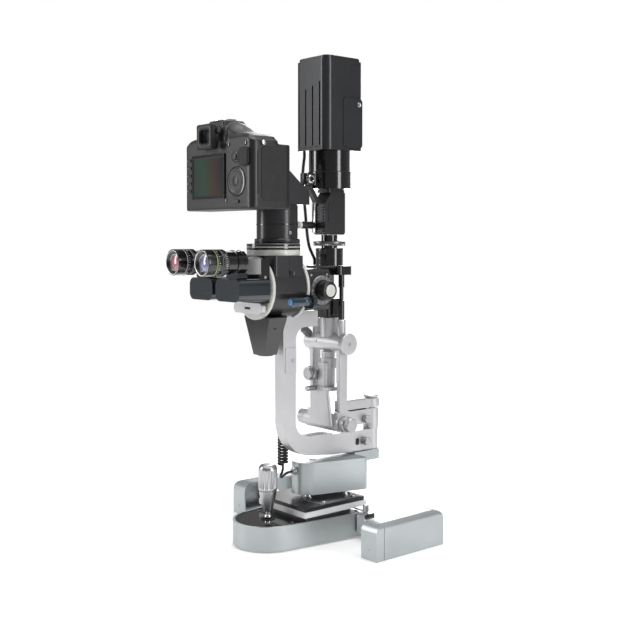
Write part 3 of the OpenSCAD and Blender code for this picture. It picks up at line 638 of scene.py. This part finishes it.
# ---- Illumination tower ----
def tower_knobs():
    mid = centre("slit_knobs")
    left, right = low("slit_knobs").x, high("slit_knobs").x
    lathes("slit_width_knobs", [
        (knob_profile(10.7, 16.2), at(left + 0.0161, mid.y, mid.z), "-x", 144, 36, 0.45, (2, 3)),
        (knob_profile(10.7, 9.0), at(right - 0.0171, mid.y, mid.z), "x", 144, 36, 0.45, (2, 3)),
        (knob_profile(9.2, 8.3), at(right - 0.0082, mid.y, mid.z), "x", 128, 32, 0.4, (2, 3)),
    ], "slit", "turned_metal")
    mid = centre("decentring_knob")
    back = high("decentring_knob").y - 0.0014
    lathes("decentring_knob_cover", [
        (knob_profile(10.2, 5.2), at(mid.x, back, mid.z), "-y", 144, 36, 0.4, (2, 3)),
        (knob_profile(8.7, 5.2), at(mid.x, back - 0.005, mid.z), "-y", 128, 32, 0.3, (2, 3)),
    ], "decentring", "turned_metal")
    mid, back = centre("tilt_latch"), high("tilt_latch").y
    lathe("latch_lever", [(3.7, 0), (3.7, 2), (2.6, 3), (2.4, 9), (3.4, 10), (3.7, 12.5), (2.9, 14.2),
        (1.0, 14.4)], at(mid.x, back, mid.z), "-y", "latch", "turned_metal", steps=40)


def barrel_details():
    hi = high("upper_barrel")
    lathe("barrel_end_disc", [(13.9, -6.6), (14.25, -6.0), (14.25, -0.7), (13.5, 0.1), (11.5, 0.15),
        (11.2, -0.1), (4.2, -0.1), (3.6, 0.35), (2.4, 0.35), (2.1, -1.2)], at(hi.x, TOWER_Y, BARREL_AXIS),
        "x", "tower", "arm_paint", steps=96)
    data = bmesh.new()
    tilt = at(-0.033, TOWER_Y - 0.0088, BARREL_AXIS + 0.0094)
    turn = Matrix.Translation(tilt) @ Matrix.Rotation(math.radians(50), 4, "X")
    add_lathe(data, knob_profile(5.8, 12.5), at(0, 0, 0), "z", 96, 24, 0.4, (2, 3))
    for vert in data.verts:
        vert.co = turn @ vert.co
    finish_piece("brake_screw", data, "tower", "rail_steel")
    cap = [(5.7, 0), (5.7, 0.8), (5.7 - 0.4, 1.2), (5.7 - 1.4, 1.2)]
    lathes("rod_sleeve_caps", [(cap, at(x, TOWER_Y, hi.z - 0.003), "z", 40) for x in (-0.027, 0.025)],
        "tower", "bright_metal")


def mirror_details():
    lo = low("mirror_head")
    data = bmesh.new()
    add_box(data, at(-0.0078, -0.0085, -0.0007), at(0.0078, 0.0085, 0.0009), 0.6, 2)
    turn = Matrix.Translation(at(0, TOWER_Y - 0.002, lo.z + 0.019)) @ Matrix.Rotation(math.radians(45), 4,
        "X")
    bmesh.ops.transform(data, matrix=turn, verts=data.verts)
    finish_piece("mirror_glass", data, "tower", "bright_metal", 30, 0.2)
    fins = [(at(x, TOWER_Y - 0.004, lo.z + 0.004), at(end, TOWER_Y + 0.010, lo.z + 0.026), 1.0, 0) for x,
        end in ((-0.0125, -0.0098), (0.0098, 0.0125))]
    boxes("mirror_side_clips", fins, "tower", "black_enamel", 0.3)


def tower_head_details():
    lathe("diaphragm_toothed_ring", [(11.2, 0), (21, 0), (21.9, 0.6), (21.9, 2.6), (21.2, 3.0), (21.2, 3.4),
        (21.9, 3.8), (21.9, 5.4), (21, 6), (17, 6), (16.4, 6.4), (11.2, 6.4)],
        at(0, TOWER_Y, low("diaphragm_ring").z), "z", "diaphragm", "rail_steel", ("diaphragm_ring",),
        steps=300, **knurl(60, 0.8, 2, 3))
    data = bmesh.new()
    for height, radius in ((0.4, 18.8), (9.5, 18.75), (20.5, 18.75)):
        add_lathe(data, [(radius - 1.2, height), (radius, height + 0.2), (radius, height + 1.3),
            (radius - 1.2, height + 1.5)], at(0, TOWER_Y, TOWER_PLATE_TOP), "z", 96)
    finish_piece("lens_barrel_rings", data, "tower", "black_enamel")
    lo, x = low("filter_box"), FILTER_BOX_SIDE
    boxes("filter_panel", [(at(x - 0.0005, TOWER_Y - 0.0118, lo.z + 0.0182),
        at(x + 0.0004, TOWER_Y + 0.0018, lo.z + 0.0418), 1.0, 0)], "tower", "dark_casting", 0.2)
    # Painted shade: a small near-black dished disc stands for the shade in the panel's hole.
    lathe("filter_panel_hole_painted_shade", [(2.2, 0), (2.2, 0.3), (1.7, 0.3), (1.5, -0.3)],
        at(x + 0.0003, TOWER_Y - 0.006, lo.z + 0.035), "x", "tower", "seam_dark", steps=32)
    boxes("filter_slide_rail", [(at(-0.0118, TOWER_Y - 0.0215, lo.z + 0.003),
        at(-0.0045, TOWER_Y - 0.0181, lo.z + 0.045), 0.8, 2)], "tower", "turned_metal", 0.2)
    flange_z = low("lamp_flange").z
    data = bmesh.new()
    add_box(data, at(-0.004, -0.003, -0.026), at(0.004, 0.003, 0.002), 1.5, 0)
    turn = Matrix.Translation(at(-0.0015, TOWER_Y - 0.036,
        flange_z + 0.004)) @ Matrix.Rotation(math.radians(32), 4, "X")
    bmesh.ops.transform(data, matrix=turn, verts=data.verts)
    finish_piece("filter_lever", data, "tower", "dark_casting", 40, 0.3)
    lathe("flange_screw_face", knob_profile(5.7, 6.4), at(0.0074, TOWER_Y - 0.042, flange_z + 0.012), "x",
        "tower", "bright_metal", steps=96, **knurl(24, 0.4, 2, 3))
    lathe("flange_seam", [(27.8, -0.6), (29.15, -0.6), (29.15, 0.2), (27.8, 0.2)],
        at(0, TOWER_Y, flange_z + 0.0229), "z", "tower", "seam_dark", steps=96)
    hy, hz = low("rotation_handle").y, centre("rotation_handle").z
    lathe("rotation_handle_grip", [(4.6, 0), (4.95, 0.6), (4.95, 18), (4.5, 19.4), (3.8, 19.6)],
        at(-0.0072, hy + 0.0252, hz), "-y", "rotation", "knob_black", steps=80, **knurl(20, 0.35, 1, 2))
    lathe("rotation_handle_tip", [(4.4, 0), (4.75, 0.5), (4.75, 3.8), (4.0, 5.0), (1.6, 5.3)],
        at(-0.0072, hy + 0.0051, hz), "-y", "rotation", "ring_white", steps=48)


def lamp_details():
    lo, hi = extent("lamp_housing")
    mid = (lo + hi) / 2
    # Painted shade: near-black sheets sunk in the grooves stand for the shade in them.
    grooves = [(at(x - 0.0011, lo.y + 0.0019, lo.z + 0.0064),
        at(x + 0.0011, lo.y + 0.0028, hi.z - 0.0464 + 0.004 * k), 1.0, 1) for k,
        x in enumerate(-0.024 + 0.0145 * k for k in range(4))]
    boxes("lamp_groove_painted_shade", grooves, "tower", "seam_dark", 0)
    boxes("lamp_top_plate", [(at(lo.x + 0.0030, lo.y + 0.0030, hi.z - 0.0004),
        at(hi.x - 0.0030, hi.y - 0.0030, hi.z + 0.0009), 8.0, 2)], "tower", "black_enamel", 0.3)
    boxes("lamp_foot_seam", [(at(lo.x - 0.0001, lo.y - 0.0001, lo.z + 0.0035),
        at(hi.x + 0.0001, hi.y + 0.0001, lo.z + 0.0043), 10.1, 2)], "tower", "seam_dark", 0)
    lock = at(high("lamp_door").x - 0.0006, lo.y + 0.058, lo.z + 0.062)
    lathe("door_lock", [(3.2, 0), (3.2, 0.5), (2.7, 0.9), (1.9, 0.7), (0.5, 0.7)], lock, "x", "tower",
        "turned_metal", steps=40)
    # Painted shade: flat near-black slots on the lid stand for the shade inside the vent openings.
    slots = [(at(mid.x - 0.020, y - 0.0013, hi.z + 0.0005), at(mid.x + 0.020, y + 0.0013, hi.z + 0.0010), 1.2,
        2) for y in (mid.y - 0.020 + 0.008 * k for k in range(6))]
    boxes("lamp_top_vent_painted_shade", slots, "tower", "seam_dark", 0)
    # Painted shade: flat near-black slots on the back stand for the shade inside the vent openings.
    back = [(at(x - 0.0013, hi.y - 0.0003, lo.z + 0.030), at(x + 0.0013, hi.y + 0.0003, hi.z - 0.030), 1.2, 1)
        for x in (-0.0165 + 0.008 * k for k in range(5))]
    boxes("lamp_back_vent_painted_shade", back, "tower", "seam_dark", 0)


base_details()
joystick_details()
rail_details()
column_details()
arm_details()
tower_knobs()
barrel_details()
mirror_details()
tower_head_details()
lamp_details()


# ---- Microscope ----
def drum_details():
    rings_lo, rings_hi = extent("body_rings")
    z = (rings_lo.z + rings_hi.z) / 2
    radius = (rings_hi.x - rings_lo.x) / 2 / MM
    for name, y in (("ring_front_lip", rings_lo.y - 0.0009), ("ring_rear_lip", rings_hi.y - 0.0003)):
        lathe(name, [(radius - 7, 0), (radius - 1.6, 0), (radius - 1.2, 0.3), (radius - 1.2, 1.0),
            (radius - 7, 1.2)], at(0, y, z), "y", "scope", "ring_white", steps=128)
    mid_y = (rings_lo.y + rings_hi.y) / 2
    lathe("side_button", [(4.8, 0), (4.8, 0.8), (4.2, 1.3), (3.6, 1.1), (1.2, 1.0), (0.9, 0.4)],
        at(MICROSCOPE_SIDE, mid_y + 0.004, z + 0.020), "x", "scope", "knob_black", steps=48)
    boxes("body_seam", [(at(-0.0362, mid_y - 0.0005, z + 0.003),
        at(0.0362, mid_y + 0.0001, high("microscope_body").z - 0.001), 0.2, 0)], "scope", "seam_dark", 0)
    lo, hi = extent("lower_housing")
    mid = (lo + hi) / 2
    screw_heads("lower_housing_screws", [at(0.0165, mid.y - 0.002, lo.z + 0.020),
        at(0.0225, mid.y - 0.002, lo.z + 0.036)], "x", "scope", "knob_black", 1.8, 0.7)
    lathe("lower_housing_foot", [(10.5, 0), (10.5, 0.6), (9.8, 1.2), (7.0, 1.2), (6.6, 0.7)],
        at(0, mid.y, lo.z + 0.0004), "-z", "scope", "black_enamel", steps=64)


def changer_details():
    lo, hi = extent("changer_housing")
    mid, side = centre("changer_knob"), MICROSCOPE_SIDE
    lathe("changer_ring", [(19.5, -1.0), (19.5, 1.2), (18.6, 2.1), (13.6, 2.1), (13.2, 1.6)],
        at(side, mid.y, mid.z), "x", "scope", "rail_steel", steps=96)
    ticks = bmesh.new()
    for k in range(16):
        angle = 2 * math.pi * k / 16
        long_tick = 2.6 if k % 4 == 0 else 1.6
        a, b = 18.1 * MM, (18.1 - long_tick) * MM
        width = 0.32 * MM
        ca, sa = math.cos(angle), math.sin(angle)
        corners = []
        for r, w in ((a, width), (a, -width), (b, -width), (b, width)):
            corners.append(at(side + 0.00215, mid.y + r * ca - w * sa, mid.z + r * sa + w * ca))
        add_slab(ticks, corners, [c - at(0.0003, 0, 0) for c in corners])
    finish_piece("changer_ticks", ticks, "scope", "mark_white", 30)
    foot = low("changer_knob").x
    lathe("changer_knob_grip", [(11.0, 0), (12.1, 0.8), (12.1, 12.6), (11.4, 14.6), (10.2, 15.1),
        (8.1, 15.1)], at(foot, mid.y, mid.z), "x", "changer", "knob_black", steps=200, **knurl(25, 0.7, 1, 2))
    lathe("changer_knob_cap", [(7.9, 0), (7.9, 1.3), (7.2, 1.75), (2.0, 1.9)],
        at(foot + 0.0148, mid.y, mid.z), "x", "changer", "ring_white", steps=64)
    spots = [at(side, lo.y + 0.006, lo.z + 0.008), at(side, lo.y + 0.006, hi.z - 0.008),
        at(side, hi.y - 0.008, hi.z - 0.008)]
    screw_heads("changer_screws", spots, "x", "scope", "turned_metal", 1.7, 0.6)
    lathe("objective_rim", [(20.2, 0), (21.5, 0.4), (21.5, 1.6), (20.0, 2.0), (18.5, 1.6)],
        at(0, hi.y - 0.0022, OBJECTIVE_AXIS), "y", "scope", "black_enamel", steps=96, hollow=True)
    lathe("objective_glass", [(18.6, 0), (17.5, 0.7), (14, 1.3), (9, 1.75), (4, 1.95), (0.4, 2.0)],
        at(0, hi.y - 0.0018, OBJECTIVE_AXIS), "y", "scope", "lens_clear", steps=96)
    lo, hi = extent("splitter_lever")
    mid = (lo + hi) / 2
    lathe("splitter_knob", [(5.1, -0.4), (5.9, 0.2), (5.9, 7.5), (5.2, 8.4), (4.4, 8.6), (4.4, 20), (5.4, 21),
        (5.9, 22), (5.9, 30.6), (5.2, 31.4)], at(mid.x, lo.y, mid.z), "y", "splitter", "blue_cap", steps=96,
        **knurl(24, 0.35, 7, 8))
    lathe("splitter_disc", [(4.6, 0), (4.6, 0.5), (4.1, 0.8), (0.8, 0.8)], at(mid.x, lo.y - 0.0003, mid.z),
        "-y", "splitter", "blue_disc", steps=48)


def eyepiece(side, body, node, glass):
    lo, hi = extent(node)
    mid = centre(node)
    radius = (hi.x - lo.x) / 2 / MM
    length = (hi.y - lo.y) / MM
    face = at(mid.x, lo.y, mid.z)
    tag = "right" if side > 0 else "left"
    outer = [(9.6, 5.6), (10.0, 4.6), (13.0, 1.6), (14.4, 0.3), (radius - 1.0, 0.3), (radius - 0.1, 1.0),
        (radius, 2.4), (radius, 12.2), (radius - 0.6, 12.6), (radius - 0.6, 13.6), (radius, 14.0),
        (radius, 20.4), (radius - 0.8, 21.0), (radius - 0.8, 22.0), (radius, 22.6), (radius, length - 14),
        (radius - 1.2, length - 13), (radius - 2.2, length - 12), (radius - 2.2, length)]
    lathe("eyepiece_shell_" + tag, outer, face, "y", body, "black_enamel", (node,), steps=180,
        **knurl(45, 0.55, 14, 15))
    lathe("eyepiece_eye_rim_" + tag, [(14.0, 0.7), (14.4, 0.1), (15.0, 0.02), (15.5, 0.3), (15.5, 0.9)], face,
        "y", body, "turned_metal", steps=96, hollow=True)
    lathe("eyepiece_lens_" + tag, [(9.9, 5.0), (9.5, 4.1), (8, 3.3), (5, 2.6), (2.5, 2.3), (0.3, 2.25)], face,
        "y", body, glass, steps=96)
    lathe("eyepiece_lens_ring_" + tag, [(10.6, 4.4), (10.6, 3.7), (10.1, 3.5), (9.7, 3.8), (9.7, 4.4)], face,
        "y", body, "turned_metal", steps=96, hollow=True)
    lathe("eyepiece_band_" + tag, [(radius - 0.62, 12.7), (radius - 0.3, 12.75), (radius - 0.3, 13.45),
        (radius - 0.62, 13.5)], face, "y", body, "mark_green" if side > 0 else "mark_white", steps=96,
        hollow=True)
    marks = bmesh.new()
    for k in range(36):
        angle = math.radians(-90 + 10 * k)
        span = 2.2 if k % 3 == 0 else 1.2
        ring = []
        for r in (radius + 0.03, radius - 0.25):
            for a, y in ((-0.9, 15.0), (0.9, 15.0), (0.9, 15.0 + span), (-0.9, 15.0 + span)):
                t = angle + math.radians(a)
                ring.append(face + at(r * MM * math.cos(t), y * MM, r * MM * math.sin(t)))
        add_slab(marks, ring[:4], ring[4:])
    finish_piece("eyepiece_marks_" + tag, marks, body, "mark_white", 30)


def head_details():
    eyepiece(1, "ocular_right", "eyepiece_right", "lens_blue")
    eyepiece(-1, "ocular_left", "eyepiece_left", "lens_pink")
    for side, node, body in ((1, "prism_box_right", "prism_right"), (-1, "prism_box_left", "prism_left")):
        lo, hi = extent(node)
        tag = "right" if side > 0 else "left"
        mid, back = centre("eyepiece_" + tag), high("eyepiece_" + tag).y
        lathe("tube_collar_" + tag, [(14.1, 0), (15.4, 0.4), (15.4, 3.6), (14.8, 4.2), (14.8, 9), (15.4, 9.6),
            (15.4, 13.5), (14.1, 14)], at(mid.x, back + 0.0006, mid.z), "y", body, "black_enamel", steps=96)
        screw_heads("prism_screws_" + tag, [at(lo.x + 0.010, lo.y + 0.0001, lo.z + 0.010),
            at(hi.x - 0.010, lo.y + 0.0001, lo.z + 0.010)], "-y", body, "knob_black", 1.8, 0.3)
    head_hi = high("binocular_head")
    ring_y, axis_z = low("body_rings").y, centre("body_rings").z
    boxes("head_bracket_cover", [(at(-0.0303, ring_y - 0.0103, axis_z - 0.0323),
        at(0.0303, ring_y - 0.0037, axis_z - 0.0179), 6.2, 1)], "scope", "arm_paint", 0.4)
    # Painted shade: a thin near-black patch on the bracket cover stands for the shade in its slot.
    boxes("head_bracket_slot_painted_shade", [(at(-0.006, ring_y - 0.0105, axis_z - 0.0270),
        at(0.006, ring_y - 0.0100, axis_z - 0.0240), 0.6, 1)], "scope", "seam_dark", 0)
    screw_heads("head_screws", [at(0.034, head_hi.y - 0.007, height) for height in (0.350, 0.326)], "x",
        "scope", "turned_metal", 1.8, 0.6)


# ---- Camera port and camera ----
def port_details():
    lo, hi = extent("port_ring")
    mid = (lo + hi) / 2
    radius = (hi.x - lo.x) / 2 / MM
    lathe("port_dark_disc", [(radius - 6, 7.1), (radius + 0.15, 7.1), (radius + 0.3, 7.6), (radius + 0.3, 10),
        (radius - 0.4, 10.5), (radius - 0.4, 11.1), (radius + 0.3, 11.6), (radius + 0.3, 14.4),
        (radius - 0.4, 15.08), (radius - 6, 15.09)], at(mid.x, mid.y, lo.z), "z", "scope", "black_enamel",
        steps=128)
    tube_lo = low("adapter_tube")
    axis_y = mid.y + 0.006
    lathe("adapter_foot_ring", [(26, 0), (29.5, 0), (29.8, 0.5), (29.8, 5.5), (29.0, 6.4), (27.1, 6.6)],
        at(0, axis_y, tube_lo.z), "z", "scope", "dark_casting", steps=96)
    lathe("adapter_neck_ring", [(26, 0), (27.6, 0.2), (27.6, 1.6), (26, 1.8)],
        at(0, axis_y, tube_lo.z + 0.024), "z", "scope", "black_enamel", steps=96)
    screw_heads("adapter_screw", [at(0.0268, axis_y, tube_lo.z + 0.014)], "x", "scope", "turned_metal", 2.2,
        1.4)
    lathe("camera_mount_ring", [(24, -0.2), (31.5, -0.2), (32, 0.4), (32, 4.4), (31, 5.2), (28.2, 5.2)],
        at(0, tube_lo.y - 0.0002, CAMERA_FOOT + 0.040), "y", "scope", "bright_metal", steps=128)


def camera_shell():
    """The camera body with soft moulded edges: its CAD shape remeshed, smoothed and crowned on top."""
    source = NODES["camera_body"]
    shell = placed("camera_shell", source.data.copy())
    shell.matrix_world = source.matrix_world
    remesh = shell.modifiers.new("remesh", "REMESH")
    remesh.mode, remesh.voxel_size = "VOXEL", 0.0013
    smooth = shell.modifiers.new("smooth", "SMOOTH")
    smooth.factor, smooth.iterations = 0.5, 16
    bpy.context.view_layer.update()
    solid = shell.evaluated_get(bpy.context.evaluated_depsgraph_get())
    data = bmesh.new()
    data.from_mesh(solid.data)
    bmesh.ops.transform(data, matrix=shell.matrix_world, verts=data.verts)
    bpy.data.objects.remove(shell)
    lo = low("camera_body") + at(0, 0.014, 0)
    shoulder, end, hump_side, slope_end = 0.050, 0.074, 0.011, 0.056
    button, pocket_radius, pocket_floor = centre("shutter_button"), 0.0058, low("shutter_button").z - 0.0021
    for vert in data.verts:
        x, y, z = vert.co.x, vert.co.y - lo.y, vert.co.z - lo.z
        if z > 0.072 and abs(x) > shoulder:
            vert.co.z -= 0.006 * ((abs(x) - shoulder) / (end - shoulder)) ** 2 * (z - 0.072) / 0.020
        if z > 0.0895 and hump_side < x < slope_end and 0 < y < 0.042:
            crown = math.sqrt(math.sin(math.pi * y / 0.042))
            fall = 0.5 + 0.5 * math.cos(math.pi * (x - hump_side) / (slope_end - hump_side))
            vert.co.z = max(vert.co.z, lo.z + 0.092 + 0.018 * fall * crown)
        if z > 0.070 and (vert.co.xy - button.xy).length < pocket_radius:
            vert.co.z = min(vert.co.z, pocket_floor)
    return finish_piece("camera_shell", data, "scope", "camera_shell", 60, 0, ("camera_body",))


def camera_details():
    camera_shell()
    cam_lo, cam_hi = extent("camera_body")
    screen_lo, screen_hi = extent("camera_screen")
    back = screen_lo.y + 0.0015
    z0 = CAMERA_FOOT
    w = 0.0042
    sx0, sx1, sz0, sz1 = screen_lo.x, screen_hi.x, screen_lo.z, screen_hi.z
    sides = ((sx0 - w, sz1, sx1 + w, sz1 + w, 1.2), (sx0 - w, sz0 - w, sx1 + w, sz0, 1.2),
        (sx0 - w, sz0, sx0, sz1, 0.2), (sx1, sz0, sx1 + w, sz1, 0.2))
    frame_rows = [(at(x0, back - 0.0019, low_z), at(x1, back - 0.0001, high_z), radius, 1) for x0, low_z, x1,
        high_z, radius in sides]
    boxes("screen_frame", frame_rows, "scope", "black_plate", 0.25)
    data = bmesh.new()
    for k in range(5):
        add_lathe(data, [(2.7, 0), (2.7, 1.1), (2.3, 1.6), (0.8, 1.7)],
            at(sx0 - 0.0105, back + 0.0002, sz1 - 0.001 - 0.0098 * k), "-y", 32)
    for x, z in ((0.026, 0.0795), (0.0615, 0.0795), (0.0655, 0.068), (0.020, 0.0115), (0.040, 0.0105)):
        add_lathe(data, [(2.5, 0), (2.5, 1.0), (2.1, 1.5), (0.8, 1.6)], at(x, back + 0.0002, z0 + z), "-y",
            32)
    finish_piece("back_buttons", data, "scope", "black_enamel")
    dots = bmesh.new()
    for k in range(5):
        add_lathe(dots, [(0.7, 0), (0.7, 0.12), (0.2, 0.12)],
            at(sx0 - 0.0163, back + 0.00005, sz1 - 0.001 - 0.0098 * k), "-y", 12)
    finish_piece("button_marks", dots, "scope", "mark_white")
    lathe("multi_controller", [(7.2, 0), (7.2, 0.5), (6.6, 0.9), (4.4, 0.9), (4.2, 1.9), (3.6, 2.6),
        (1.0, 2.7)], at(0.040, back + 0.0002, z0 + 0.064), "-y", "scope", "knob_black", steps=48)
    dial = centre("quick_dial")
    lathe("quick_dial_wheel", [(15.4, 0), (15.7, 0.4), (15.7, 2.0), (15.2, 2.9), (13.2, 3.1), (11.6, 2.3),
        (9.6, 1.7), (6.6, 1.7), (6.3, 2.7), (5.6, 3.0), (0.9, 3.1)], at(dial.x, high("quick_dial").y, dial.z),
        "-y", "dial", "knob_black", steps=240, **knurl(60, 0.35, 1, 2))
    lathe("quick_dial_bezel", [(16.1, 0), (18.0, 0.1), (18.4, 0.6), (18.0, 1.2), (16.1, 1.3)],
        at(dial.x, back + 0.0001, dial.z), "-y", "scope", "black_plate", steps=96)
    boxes("power_switch", [(at(dial.x - 0.006, back - 0.0016, z0 + 0.0075),
        at(dial.x + 0.006, back + 0.0001, z0 + 0.0120), 2.0, 1)], "scope", "knob_black", 0.3)
    thumb = bmesh.new()
    add_box(thumb, at(0.050, back - 0.0034, z0 + 0.052), at(0.0695, back + 0.0001, z0 + 0.0745), 5.5, 1)
    finish_piece("thumb_rest", thumb, "scope", "leather", 40, 1.3)
    top = z0 + 0.092
    shoe = ((-0.0135, 0.0055, 0.0196, 0.0204, 0.5), (-0.0135, -0.0110, 0.0200, 0.0222, 0.3),
        (0.0030, 0.0055, 0.0200, 0.0222, 0.3))
    boxes("hot_shoe", [(at(x0, cam_lo.y + 0.020, top + low_z), at(x1, cam_lo.y + 0.040, top + high_z), radius,
        2) for x0, x1, low_z, high_z, radius in shoe], "scope", "bright_metal", 0.15)
    eye_back = cam_lo.y
    boxes("finder_glass", [(at(-0.0175, eye_back + 0.0078, z0 + 0.0825),
        at(0.0015, eye_back + 0.0086, z0 + 0.0995), 2.0, 1)], "scope", "lens_clear", 0.2)
    rubber = bmesh.new()
    for foot, rim in ((0.0995, 0.1065), (0.0755, 0.0825)):
        add_box(rubber, at(-0.0245, eye_back + 0.0002, z0 + foot), at(0.0085, eye_back + 0.0075, z0 + rim),
            3.0, 1)
    for x0, x1 in ((-0.0245, -0.0180), (0.0020, 0.0085)):
        add_box(rubber, at(x0, eye_back + 0.0003, z0 + 0.078), at(x1, eye_back + 0.0074, z0 + 0.104), 2.4, 1)
    finish_piece("eyecup_rubber", rubber, "scope", "rubber", 40, 0.8)
    lathe("dioptre_wheel", [(3.6, 0), (3.6, 3.0), (3.1, 3.5)], at(0.0085, eye_back + 0.010, z0 + 0.098), "x",
        "scope", "knob_black", steps=96, **knurl(24, 0.3, 0, 1))
    mid = centre("mode_dial")
    lathe("mode_dial_knob", [(8.8, 0), (8.8, 7.6), (8.2, 8.6), (7.4, 8.9), (1.0, 8.9)],
        at(mid.x, mid.y, low("mode_dial").z + 0.0001), "z", "mode", "knob_black", steps=200,
        **knurl(40, 0.45, 0, 1))
    shutter = centre("shutter_button")
    lathe("shutter_cap", [(4.75, 1.2), (4.75, 3.4), (4.2, 4.1), (2.6, 4.25), (1.0, 4.1)],
        at(shutter.x, shutter.y, low("shutter_button").z), "z", "shutter", "turned_metal", steps=48)
    right = cam_hi.x
    boxes("side_grip_leather", [(at(right - 0.0002, cam_lo.y + 0.028, z0 + 0.010),
        at(right + 0.0006, cam_lo.y + 0.066, z0 + 0.076), 6.0, 0)], "scope", "leather", 0.3)
    boxes("card_door", [(at(right - 0.0002, cam_lo.y + 0.0225, z0 + 0.018),
        at(right + 0.0007, cam_lo.y + 0.0275, z0 + 0.070), 1.0, 0)], "scope", "camera_shell", 0.2)
    boxes("left_leather", [(at(-0.0746, cam_lo.y + 0.022, z0 + 0.012),
        at(-0.0738, cam_lo.y + 0.050, z0 + 0.078), 4.0, 0)], "scope", "leather", 0.3)
    front = cam_lo.y + 0.016 + 0.042
    boxes("front_leather", [(at(-0.068, front - 0.0004, z0 + 0.010), at(-0.034, front + 0.0005, z0 + 0.070),
        4.0, 1)], "scope", "leather", 0.3)
    strap = bmesh.new()
    for x, a in ((-0.0740, "-x"), (0.0740, "x")):
        add_lathe(strap, [(2.0, 0), (2.0, 1.6), (3.0, 2.0), (3.0, 3.0), (2.2, 3.4)],
            at(x, cam_lo.y + 0.030, z0 + 0.080), a, 32)
    finish_piece("strap_lugs", strap, "scope", "bright_metal")


drum_details()
changer_details()
head_details()
port_details()
camera_details()


# ---- Floor and light ----
def make_floor():
    """A white floor whose outer part fades into the white room, so no horizon shows."""
    size, clear_from, clear_to = 3.0, 0.75, 1.9
    stage = bmesh.new()
    for x, y in ((-size, -size), (size, -size), (size, size), (-size, size)):
        stage.verts.new((x, y, -0.0004))
    stage.faces.new(stage.verts)
    mesh = bpy.data.meshes.new("floor")
    stage.to_mesh(mesh)
    stage.free()
    floor = placed("floor", mesh)
    s = Shader("floor_white", 0.55)
    fill(s.base, Specular_IOR_Level=0.25, Emission_Color=(1, 1, 1, 1), Emission_Strength=FLOOR_GLOW)
    s.colour(s.noise(0.8, 2), (0.90, 0.90, 0.90), (0.94, 0.94, 0.94))
    away = s.add("ShaderNodeVectorMath", operation="LENGTH")
    s.link(s.where, away.inputs[0])
    fade = s.add("ShaderNodeMapRange", interpolation_type="SMOOTHSTEP")
    fill(fade, From_Min=clear_from, From_Max=clear_to, To_Min=1.0, To_Max=0.0)
    s.link(away.outputs["Value"], fade.inputs["Value"])
    s.link(fade.outputs["Result"], s.base.inputs["Alpha"])
    mesh.materials.append(s.material)


def make_world():
    """A white room to look at, and a dimmer one with a bright ceiling that lights the object."""
    world = bpy.data.worlds.new("studio")
    bpy.context.scene.world = world
    world.use_nodes = True
    tree = world.node_tree
    link = tree.links.new
    seen_room = tree.nodes["Background"]
    fill(seen_room, Color=(1, 1, 1, 1), Strength=1.0)
    room = tree.nodes.new("ShaderNodeBackground")
    fill(room, Strength=1.0)
    toward = tree.nodes.new("ShaderNodeTexCoord")
    split = tree.nodes.new("ShaderNodeSeparateXYZ")
    link(toward.outputs["Generated"], split.inputs["Vector"])
    height = tree.nodes.new("ShaderNodeMapRange")
    fill(height, From_Min=-1.0)
    link(split.outputs["Z"], height.inputs["Value"])
    ramp = tree.nodes.new("ShaderNodeValToRGB")
    link(height.outputs["Result"], ramp.inputs["Fac"])
    stops = ((0.0, 0.55), (0.47, 0.34), (0.55, 0.20), (0.72, 0.16), (0.86, 0.50), (1.0, 0.95))
    for k, (place, grey) in enumerate(stops):
        stop = ramp.color_ramp.elements[k] if k < 2 else ramp.color_ramp.elements.new(place)
        stop.position = place
        stop.color = (grey, grey, grey * 1.01, 1)
    link(ramp.outputs["Color"], room.inputs["Color"])
    path = tree.nodes.new("ShaderNodeLightPath")
    mix = tree.nodes.new("ShaderNodeMixShader")
    link(path.outputs["Is Camera Ray"], mix.inputs["Fac"])
    link(room.outputs["Background"], mix.inputs[1])
    link(seen_room.outputs["Background"], mix.inputs[2])
    link(mix.outputs["Shader"], tree.nodes["World Output"].inputs["Surface"])


def soft_box(name, place, aim, wide, tall, power):
    data = bpy.data.lights.new(name, "AREA")
    data.shape, data.size, data.size_y, data.energy = "RECTANGLE", wide, tall, power
    light = placed(name, data)
    light.location = place
    light.rotation_mode = "QUATERNION"
    light.rotation_quaternion = (Vector(aim) - Vector(place)).to_track_quat("-Z", "Y")


def studio():
    make_floor()
    make_world()
    soft_box("ceiling", (0.1, 0.0, 2.0), (0, 0, 0), 1.8, 1.8, 24)
    soft_box("left_front", (-1.3, -1.5, 0.9), (0, 0, 0.32), 0.5, 1.5, 16)
    soft_box("right", (1.7, 0.5, 0.8), (0, 0, 0.32), 0.5, 1.5, 16)
    soft_box("back_left", (-1.2, 1.2, 0.9), (0, 0, 0.35), 0.4, 1.3, 10)
    bpy.context.scene.view_settings.view_transform = "Standard"


studio()
